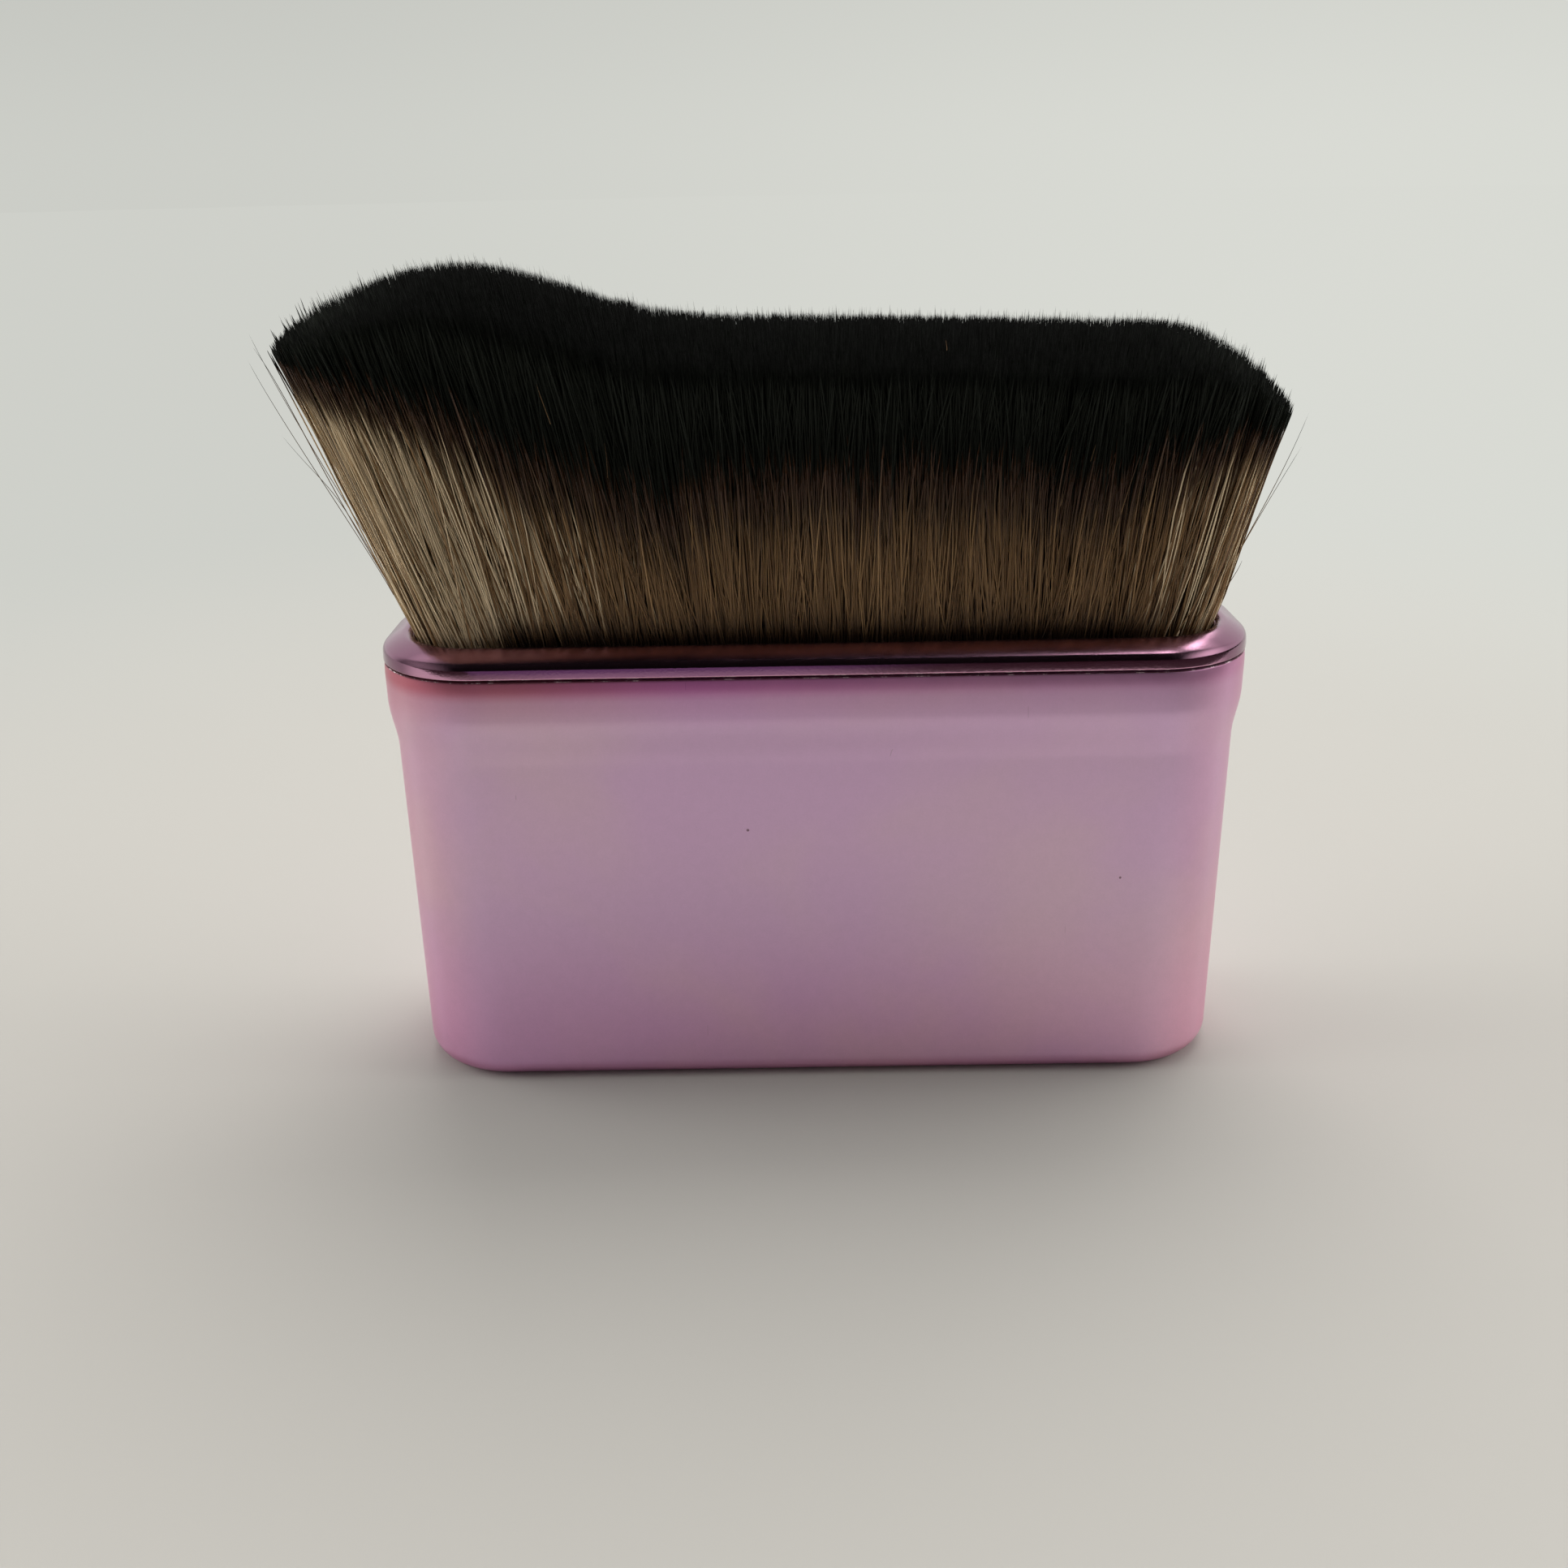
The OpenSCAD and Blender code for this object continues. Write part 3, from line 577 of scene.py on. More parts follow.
def tubes(lines, shares, levels, thick, rng, columns, taper_from=0.93, point=0.45):
    """Thin closed tubes round centre lines: a ring of a few points round each centre point, and one point at the tip.

    A tube keeps its thickness up to a share of its length and then thins to the point share of it. Returns points,
    corners, face sizes, for each face 1 if it is above the start of the dye, and the map, in which u is the
    filament's column and v is the level.
    """
    n, k = lines.shape[:2]
    rings, side = k - 1, np.arange(SIDES)
    thin = np.clip((shares[:, :-1] - taper_from) / (1 - taper_from), 0, 1)
    radius = 0.5 * thick[:, None] * (1 - (1 - point) * thin ** 1.3)
    angle = rng.uniform(0, 2 * np.pi, n)[:, None] + side * 2 * np.pi / SIDES
    ring = np.stack([np.cos(angle), np.sin(angle), np.zeros_like(angle)], 2)
    around = lines[:, :-1, None, :] + radius[:, :, None, None] * ring[:, None, :, :]
    points = np.concatenate([around.reshape(n, -1, 3), lines[:, -1:, :]], 1).reshape(-1, 3)
    # One tube has quads up its sides, a triangle from each side to the tip, and one face across its foot
    quads, last, tip = grid_faces(rings, SIDES), (rings - 1) * SIDES, rings * SIDES
    to_tip = np.stack([last + side, last + (side + 1) % SIDES, np.full(SIDES, tip)], 1)
    tube = np.concatenate([quads.ravel(), to_tip.ravel(), side[::-1]])
    corners = (tube + (tip + 1) * np.arange(n)[:, None]).ravel()
    face_sizes = np.tile(np.repeat([4, 3, SIDES], [len(quads), SIDES, 1]), n)

    def mapped(us, vs):
        """The map's places at the corners of one kind of face, all tubes of it together."""
        pairs = [np.stack(np.broadcast_arrays(u, v), 2) for u, v in zip(us, vs)]
        return np.stack(pairs, 2).reshape(n, -1, 2)

    low, high = ((columns / MAP_COLUMNS + inset)[:, None] for inset in (COLUMN_LOW, COLUMN_HIGH))
    middle, foot = (low + high) / 2, levels[:, :1]
    under, over, ends, tips = (np.repeat(part, SIDES, 1) for part in
                               (levels[:, :-2], levels[:, 1:-1], levels[:, -2:-1], levels[:, -1:]))
    uv = np.concatenate([mapped((low, high, high, low), (under, under, over, over)),
                         mapped((low, high, middle), (ends, ends, tips)),
                         mapped((low, high, middle), (foot, foot, foot + FOOT_MAP))], 1)
    dyed = np.concatenate([under >= DYE_LEVEL - NEARLY, np.ones((n, SIDES)), np.zeros((n, 1))], 1).astype(int)
    return points, corners, face_sizes, dyed.ravel(), uv.reshape(-1, 2)


def root_grid(head, pitch, rng):
    """Jittered places of roots over the packed root, a pitch apart, with their depth inside its outline."""
    half_x, half_y = half_sizes(head)
    x, y = (g.ravel() for g in np.meshgrid(np.arange(-half_x + pitch / 2, half_x, pitch),
                                           np.arange(-half_y + pitch / 2, half_y, pitch)))
    x = x + rng.uniform(-0.5, 0.5, len(x)) * pitch
    y = np.clip(y + rng.uniform(-0.5, 0.5, len(y)) * pitch, -half_y * 0.999, half_y * 0.999)
    off_x, off_y = np.maximum(0, np.abs(x) - head.root_x), np.maximum(0, np.abs(y) - head.root_y)
    depth = head.root_round - np.hypot(off_x, off_y)
    inside = depth > 0
    return x[inside], y[inside], depth[inside]


def hank_of(head, x, y):
    """The number, from 0, of the hank that a root belongs to, going from left to right."""
    u = x / half_root(head, y)
    return np.clip(np.floor((u + 1) / 2 * HANKS), 0, HANKS - 1).astype(int)


def column_picks(rng, picked, these, others):
    """A column of the map for each filament: from the range these where it is picked, and else from others."""
    return np.where(picked, rng.integers(*these, len(picked)), rng.integers(*others, len(picked)))


# ---------------------------------------------------------------- finishes


def scaled(tint, factor):
    """A colour times a factor."""
    return tuple(c * factor for c in tint)


class Nodes:
    """A short way to write a node tree: add makes a node, sets its sockets and links those given as outputs."""

    def __init__(self, owner):
        owner.use_nodes = True
        self.tree = owner.node_tree

    def put(self, socket, value):
        """Links an output to a socket, or sets the socket to a plain number, vector or colour."""
        if isinstance(value, bpy.types.NodeSocket):
            self.tree.links.new(value, socket)
        elif socket.type == "RGBA":
            socket.default_value = tuple(value)[:3] + (1.0,)
        else:
            socket.default_value = value

    def feed(self, node, **values):
        """Puts values on the named sockets of a node that the tree has from the start."""
        for key, value in values.items():
            self.put(self.tree.nodes[node].inputs[key.replace("_", " ")], value)

    def add(self, kind, sockets=None, **settings):
        """Makes a node of a kind, with its settings and its sockets."""
        made = self.tree.nodes.new("ShaderNode" + kind)
        for key, value in settings.items():
            setattr(made, key, value)
        for key, value in (sockets or {}).items():
            self.put(made.inputs[key], value)
        return made

    def place(self):
        """The place on the piece: its Object coordinates."""
        return self.add("TexCoord").outputs["Object"]

    def parts(self, vector):
        """The three numbers of a vector."""
        return self.add("SeparateXYZ", {0: vector}).outputs

    def maths(self, operation, a, b=0.0):
        """One operation on two numbers."""
        return self.add("Math", {0: a, 1: b}, operation=operation).outputs[0]

    def times(self, a, b):
        return self.maths("MULTIPLY", a, b)

    def plus(self, a, b):
        return self.maths("ADD", a, b)

    def most(self, a, b):
        return self.maths("MAXIMUM", a, b)

    def spread(self, value, low, high, to_low=0.0, to_high=1.0):
        """A smooth rise from one value to another while the given value goes from low to high."""
        return self.add("MapRange", {"Value": value, "From Min": low, "From Max": high, "To Min": to_low,
                                     "To Max": to_high}, interpolation_type="SMOOTHSTEP").outputs[0]

    def mix(self, factor, a, b, blend="MIX"):
        """A colour that goes from the first to the second as the factor goes from 0 to 1."""
        return self.add("Mix", {0: factor, 6: a, 7: b}, data_type="RGBA", blend_type=blend).outputs[2]

    def dimmed(self, tint, factor):
        """A colour times one number."""
        grey = self.add("CombineColor", {0: factor, 1: factor, 2: factor}).outputs[0]
        return self.mix(1.0, tint, grey, "MULTIPLY")

    def noise(self, place, scale, detail=2.0, rough=0.5, distort=0.0):
        """Cloudy noise from 0 to 1, mostly near a half."""
        return self.add("TexNoise", {"Vector": place, "Scale": scale, "Detail": detail, "Roughness": rough,
                                     "Distortion": distort}).outputs["Fac"]

    def bump(self, height, strength, distance=0.00003):
        """A surface direction tilted by a height, which stands for a share of the distance."""
        return self.add("Bump", {"Height": height, "Strength": strength, "Distance": distance}).outputs[0]


def new_finish(name, **constants):
    """A material with one Principled shader, whose plain values are set on its own sockets."""
    finish = bpy.data.materials.new(name)
    n = Nodes(finish)
    n.feed("Principled BSDF", **constants)
    return finish, n


def handle_finish(colours):
    """Satin metallised lacquer: hazy patches, fine orange peel, dust specks and short hairline scratches, deeper red
    towards the seam as a painted reflection, brighter low down as painted light, pinker round the ends as a painted
    reflection tint, and pinker and darker at the rims as painted shade."""
    finish, n = new_finish("Satin rose metallised lacquer", Metallic=0.74)
    place = n.place()
    across, _, height = n.parts(place)
    patches = n.spread(n.noise(place, 42, 3, 0.5, 0.4), 0.36, 0.66)
    haze, grain = n.noise(place, 900, 3, 0.62), n.noise(place, 6500)
    tint = n.mix(n.times(patches, 0.85), colours.handle, colours.handle_haze)
    tint = n.dimmed(tint, n.plus(n.spread(haze, 0.3, 0.7, 0.985, 1.012), n.spread(grain, 0.3, 0.7, -0.012, 0.012)))
    # A speck stands in some cells of one pattern, and a scratch runs along some cell walls of another
    cells = n.add("TexVoronoi", {"Vector": place, "Scale": 185.0, "Randomness": 1.0}).outputs
    drawn = n.add("SeparateColor", {0: cells["Color"]}).outputs
    near = n.maths("LESS_THAN", cells["Distance"], n.spread(drawn[1], 0, 1, 0.014, 0.026))
    speck = n.times(near, n.maths("GREATER_THAN", drawn[0], 0.50))
    slanted = n.add("Mapping", {"Vector": place, "Rotation": (0.5, 0.35, 0.9), "Scale": (1.0, 1.0, 0.16)}).outputs[0]
    walls = n.add("TexVoronoi", {"Vector": slanted, "Scale": 260.0}, feature="DISTANCE_TO_EDGE").outputs["Distance"]
    scratch = n.times(n.maths("LESS_THAN", walls, 0.005), n.maths("GREATER_THAN", n.noise(place, 300, 0), 0.85))
    tint = n.mix(n.most(n.times(speck, 0.75), n.times(scratch, 0.22)), tint, colours.mark)
    # The painted reflection towards the seam, a deeper red, has a narrow and a wide part, and is strongest at the left
    seam = n.plus(n.spread(height, 0.0369, 0.0383, 0.0, 0.60), n.spread(height, 0.0340, 0.0374, 0.0, 0.38))
    seam = n.times(seam, n.spread(across, 0.034, -0.022, 0.5, 1.0))
    red = n.mix(n.spread(across, -0.012, -0.026), colours.seam_painted_reflection, colours.seam_painted_reflection_left)
    out = n.maths("ABSOLUTE", across)
    # Masks of painted light low down and of a painted reflection tint round the ends
    low, ends = n.spread(height, 0.019, 0.002), n.spread(out, 0.0295, 0.0345)
    # Mask of painted shade at the far ends and round the base
    rims = n.most(n.spread(out, 0.0350, 0.0372), n.spread(height, 0.0022, 0.0006))
    # Each mask tints the lacquer: painted reflection at the seam, painted light low down, a painted reflection tint
    # round the ends and painted shade at the rims
    for mask, by in ((seam, red), (low, colours.low_painted_light), (ends, colours.end_painted_reflection), (rims, colours.rim_painted_shade)):
        tint = n.mix(mask, tint, by, "MULTIPLY")
    n.feed("Principled BSDF", Base_Color=tint, Normal=n.bump(n.plus(n.times(grain, 0.5), haze), 0.06),
           Roughness=n.plus(n.spread(patches, 0, 1, 0.29, 0.32), n.spread(haze, 0.3, 0.7, -0.012, 0.015)))
    return finish


def seam_glint_finish(colours):
    """The bevels along the seam: a painted highlight, pale and broken, with dark stretches of painted shade between.
    """
    finish, n = new_finish("Seam edge with painted glint and shade", Metallic=0.7)
    broken = n.spread(n.noise(n.place(), 1100, 4, 0.7), 0.50, 0.66)
    n.feed("Principled BSDF", Base_Color=n.mix(broken, colours.seam_shade_painted, colours.seam_glint_painted),
           Roughness=n.spread(broken, 0, 1, 0.5, 0.28))
    return finish


def collar_finish(colours):
    """Bright metallised lacquer: fine ripples that break its highlight, faint haze, painted shade beside the bristles,
    and a slope that is a little duller than the upright band below it."""
    finish, n = new_finish("Bright rose metallised lacquer", Metallic=1.0)
    place = n.place()
    _, depth, height = n.parts(place)
    patches, fine = n.noise(place, 120, 3), n.noise(place, 5200, 3, 0.6)
    tint = n.mix(n.spread(patches, 0.35, 0.65, 0, 0.5), colours.collar, scaled(colours.collar, 0.86))
    # Painted shade beside the bristles, darkest near the lip
    inner = n.spread(n.maths("ABSOLUTE", depth), 0.0106, 0.0090)
    dull = n.plus(n.spread(height, 0.0400, 0.0405, 0.0, 0.09), n.spread(fine, 0.3, 0.7, -0.01, 0.03))
    n.feed("Principled BSDF", Base_Color=n.mix(inner, tint, colours.collar_painted_shade, "MULTIPLY"),
           Roughness=n.plus(n.spread(patches, 0.3, 0.7, 0.09, 0.12), dull), Normal=n.bump(fine, 0.16))
    return finish


def filament_finish(colours, name, gloss):
    """Taupe filament with its dyed tip, all read from the filament's own map: u picks the filament, v is its level."""
    finish, n = new_finish(name, IOR=1.5, Specular_IOR_Level=gloss)
    u, v, _ = n.parts(n.add("UVMap", uv_map="OFBake").outputs[0])
    own = n.maths("FLOOR", n.times(u, MAP_COLUMNS))
    white = n.add("TexWhiteNoise", {"W": own}, noise_dimensions="1D")
    picked = n.add("SeparateColor", {0: white.outputs["Color"]}).outputs
    along = n.add("CombineXYZ", {0: n.times(own, 7.31), 1: n.times(v, 5.0)}).outputs[0]
    level = n.plus(v, n.times(n.maths("SUBTRACT", picked[2], 0.5), 0.05))
    # In the painted shade below the dyed tips and at its foot, a pale filament, painted as lit from the side,
    #     is no paler than the others
    shaded = n.most(n.spread(v, 0.22, 0.40), n.spread(v, 0.18, 0.09))
    pale = n.mix(shaded, colours.taupe_side_lit, scaled(colours.taupe, 0.8))
    # Painted shade: filaments in the depth are dark brown
    deep_shade = n.mix(picked[0], scaled(colours.deep_shade, 0.6), colours.deep_shade)
    tint = n.mix(picked[0], colours.taupe_dark, colours.taupe)
    for (first, _), other in ((SIDE_LIT, pale), (DEEP_SHADE, deep_shade)):
        tint = n.mix(n.spread(own, first - 1, first), tint, other)
    streaks = n.spread(n.noise(along, 1.0, 2, 0.6), 0.35, 0.75, 0.0, 0.35)
    tint = n.mix(streaks, tint, colours.taupe_dark, "MULTIPLY")
    # Painted shade below the dyed tips
    tint = n.dimmed(tint, n.spread(level, 0.20, 0.42, 1.0, 0.30))
    # From the root up: taupe, brown, dye with painted light on the front, and the darker plain dye of the cut
    front = n.mix(n.spread(level, 0.6, 0.8), scaled(colours.dye, 5.6), scaled(colours.dye, 8.4))
    dye = n.mix(n.spread(v, 0.87, 0.975), front, colours.dye)
    tint = n.mix(n.spread(level, 0.32, 0.48), tint, colours.brown)
    tint = n.mix(n.spread(level, 0.45, 0.57), tint, dye)
    # Painted shade at the foot of the filaments
    tint = n.mix(n.spread(level, 0.06, 0.18, 0.93, 0), tint, scaled(colours.brown, 0.3))
    n.feed("Principled BSDF", Base_Color=tint, Roughness=n.spread(level, 0.42, 0.55, 0.42, 0.75))
    return finish


def shaded_core_finish(colours):
    """The dark middle of the head: closely packed filaments, brown below as painted shade, and black towards the cut,
    where they are dyed.
    """
    finish, n = new_finish("Packed filaments in painted shade", IOR=1.45)
    place = n.place()
    streak = n.noise(n.add("Mapping", {"Vector": place, "Scale": (1, 1, 0.04)}).outputs[0], 5200)
    # Painted shade: the packed filaments are dark brown below the dye
    brown = n.mix(streak, scaled(colours.brown, 0.35), colours.brown)
    n.feed("Principled BSDF", Base_Color=n.mix(n.spread(n.parts(place)[2], 0.048, 0.056), brown, colours.dye),
           Roughness=n.spread(streak, 0.3, 0.7, 0.7, 0.9))
    return finish


def plastic_finish(name, tint, rough, strength, scale, **constants):
    """Moulded or cast plastic: a tint that varies a little, with fine roughness and bump."""
    finish, n = new_finish(name, **constants)
    place = n.place()
    cloud = n.noise(place, scale, 4, 0.55)
    n.feed("Principled BSDF", Base_Color=n.mix(n.spread(cloud, 0.35, 0.65), tint, scaled(tint, 0.75)),
           Roughness=n.spread(cloud, 0.3, 0.7, rough - 0.06, rough + 0.06),
           Normal=n.bump(n.noise(place, scale * 6, 3), strength, 0.00005))
    return finish


# ---------------------------------------------------------------- operators

SEAM_HALF = 0.00008  # from the handle's upper rim to the middle of the seam
FUSED = 0.0003  # how far a web reaches into the floor, the cup and the walls
CLEAR = 0.0001  # how much deeper the glue groove is, and how far the collar's shoulder lies above the seam
SNAP_DOWN, SNAP_HALF, SNAP_IN = 0.004, 0.0005, 0.00025  # the snap groove in the skirt: place, half height, depth
BASE_RINGS = (0.0, 0.6, 0.97)  # where rings of points lie on the flat base, in shares of its reach
RIM_ANGLES = (0, 6, 56, 72, 90)  # how far the rim leans in where its stretches meet, in degrees
CREST_POWER = 2.5  # power of the curve from the collar's crest to its lip


class BRUSH_OT_handle(Operator):
    """Make the metallised handle shell, with its floor, ledge and cross webs"""

    bl_idname = "brush.handle"
    bl_label = "Handle"

    def execute(self, context):
        h, colours = context.scene.brush_handle, context.scene.brush_colours
        waist = h.corner - h.waist_in
        base = waist - h.draft_in
        flat = base - h.base_round
        band = h.top + SEAM_HALF - h.band
        low = band - h.shoulder
        rise, roll = np.linspace(0, 1, 25)[:, None], np.linspace(0, 1, 12)[:, None]
        outer = np.concatenate([
            [[flat * ring, 0.0] for ring in BASE_RINGS],
            arc((flat, h.base_round), h.base_round, -90, 0, 18),
            np.hstack([base + h.draft_in * rise[1:-1], h.base_round + (low - h.base_round) * rise[1:-1]]),
            np.hstack([waist + h.waist_in * eased(rise), low + h.shoulder * rise]),
            np.hstack([h.corner - h.rim_roll_in * roll ** 2, h.top - h.bevel - h.rim_roll * (1 - roll)])])
        edge, seat, wall = h.corner - h.rim_roll_in, h.corner - h.rim_wall, waist - h.draft_in - h.wall
        ledge = h.top + SEAM_HALF - h.ledge
        inner = held(np.array([[edge, h.top - h.bevel], [edge - h.bevel, h.top], [seat, h.top], [seat, ledge],
                               [wall, ledge], [wall, h.floor], [0.0, h.floor]]))[1:]
        grid = carried(np.concatenate([outer, inner]), h)
        rows, columns = grid.shape[:2]
        points, corners, face_sizes = capped(grid)
        webs, web_faces = self.webs(h, waist)
        corners = np.concatenate([corners, (web_faces + len(points)).ravel()])
        face_sizes = np.concatenate([face_sizes, np.full(len(web_faces), 4)])
        # The bevel at the seam gets the painted highlight and shade of the seam
        edge_face = marked(rows - 1, columns, len(outer) - 1, len(outer) + 2)
        face_finish = np.pad(edge_face, (0, len(face_sizes) - len(edge_face)))
        piece = new_piece("handle_body", "handle", np.concatenate([points, webs]), corners, face_sizes,
                          [handle_finish(colours), seam_glint_finish(colours)], face_finish)
        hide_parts("handle_shell")
        return {"FINISHED"}

    def webs(self, h, waist):
        """Points and faces of the cross webs: each is a block, an even pitch apart, fused into what it touches."""
        pitch = 2 * (h.width / 2 - h.corner) / h.webs
        middle = pitch * (np.arange(h.webs) - (h.webs - 1) / 2)
        reach = h.depth / 2 - h.corner + waist - h.wall + FUSED
        box = np.array([[x, y, z] for z in (0, 1) for y in (-1, 1) for x in (-1, 1)], float)
        block = box * (h.web / 2, reach, CUP_LOW[2] - h.floor + FUSED) + (0, 0, h.floor - FUSED)
        points = (block[None] + np.stack([middle, middle * 0, middle * 0], 1)[:, None]).reshape(-1, 3)
        sides = np.array([[0, 2, 3, 1], [4, 5, 7, 6], [0, 1, 5, 4], [1, 3, 7, 5], [3, 2, 6, 7], [2, 0, 4, 6]])
        return points, (sides[None] + 8 * np.arange(h.webs)[:, None, None]).reshape(-1, 4)


class BRUSH_OT_collar(Operator):
    """Make the bright collar ring, with its rolled rim, lip, skirt and grooves"""

    bl_idname = "brush.collar"
    bl_label = "Collar"

    def execute(self, context):
        c, h, colours = context.scene.brush_collar, context.scene.brush_handle, context.scene.brush_colours
        seam = (h.top + c.low) / 2
        skirt_out = h.corner - h.rim_wall - c.skirt_gap
        skirt_in = skirt_out - c.skirt_wall
        groove_in = skirt_out - c.groove_in - CLEAR
        groove_low = seam - c.groove_down - c.groove / 2
        groove_high = seam - c.groove_down + c.groove / 2
        opening, crest, lip_round = h.corner - c.rim, h.corner - c.crest_in, c.lip_fall / 2
        lip_foot, under, snap = c.crest - c.lip_fall - lip_round, seam + CLEAR, seam - SNAP_DOWN
        # The rim rises nearly upright, turns tightly, slopes in and turns over the crest
        foot = c.low + h.bevel
        rim = bent([c.band, c.turn, c.slope, c.brow], RIM_ANGLES)
        rim = np.array([h.corner, foot]) + rim / rim[-1] * (-c.crest_in, c.crest - foot)
        # Between crest and lip the top runs down in a smooth curve
        lip = arc((opening + lip_round, lip_foot), lip_round, 90, 180, 10)
        t = np.linspace(0, 1, 12)[1:-1, None]
        top = np.hstack([crest + (lip[0, 0] - crest) * t, c.crest - (c.crest - lip[0, 1]) * t ** CREST_POWER])
        skirt = held(np.array([[skirt_in, c.skirt_low], [skirt_out, c.skirt_low], [skirt_out, groove_low],
                               [groove_in, groove_low], [groove_in, groove_high], [skirt_out, groove_high],
                               [skirt_out, c.low], [h.corner - h.bevel, c.low], [h.corner, foot]]))
        inside = held(np.array([[opening, lip_foot], [opening, under], [skirt_in, under],
                                [skirt_in, snap + SNAP_HALF], [skirt_in + SNAP_IN, snap],
                                [skirt_in, snap - SNAP_HALF], [skirt_in, c.skirt_low]]))
        grid = carried(np.concatenate([skirt[:-1], rim, top, lip[:-1], inside[1:-1]]), h)
        rows, columns = grid.shape[:2]
        quads = grid_faces(rows, columns, close_rows=True)
        # The bevels at the seam get the painted highlight and shade of the seam
        piece = new_piece("collar_ring", "collar", grid.reshape(-1, 3), quads.ravel(), np.full(len(quads), 4),
                          [collar_finish(colours), seam_glint_finish(colours)],
                          marked(rows, columns, len(skirt) - 4, len(skirt) - 1))
        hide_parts("collar")
        return {"FINISHED"}


class BRUSH_OT_inner_parts(Operator):
    """Give the cup, the resin bed and the glue line their plastic finishes"""

    bl_idname = "brush.inner_parts"
    bl_label = "Cup, resin and glue"

    def execute(self, context):
        colours = context.scene.brush_colours
        finishes = {
            "bristle_cup": plastic_finish("Black moulded plastic", colours.cup, 0.55, 0.3, 400),
            "resin_bed": plastic_finish("Set casting resin", colours.resin, 0.22, 0.1, 260, IOR=1.55),
            "collar_glue": plastic_finish("Cured glue", colours.glue, 0.18, 0.2, 500, IOR=1.48),
        }
        for node, finish in finishes.items():
            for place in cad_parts[node].material_slots:
                place.material = finish
        return {"FINISHED"}


SKIN, SKIN_SHARE = 0.00025, 0.7  # depth of the outermost filaments, and the share of them that is there
SUNK, SUNK_MOST, SUNK_LESS = (0.0001, 0.0007), 0.92, 0.97  # dark brown ones for painted shade: rise with depth, most, less at the ends
SIDE_LIT_SHARE, SIDE_LIT_WISPS = 0.9, 0.8  # shares of the filaments and of the wisps at the ends that are pale, for painted side light
WISP_COLUMNS, SIDE_LIT_INNER_COLUMNS = (10, 56), (20, 64)  # columns of the other wisps and of the inner filaments that get painted side light
WISP_LOW, WISP_HIGH, WISP_IN = 0.985, 0.999, 0.0001  # where wisps stand in the half depth, and how far from the ends
OUTER_WILD, WISP_WILD, WISP_OUT = 1.1, 2.0, 0.00012  # how freely these stray, and how far wisps stand out
OVERLAP = 0.93  # the inner filaments start at this share of the outer layer's depth
THIN, THICK = 0.75, 1.2  # the least and the most of a filament's thickness


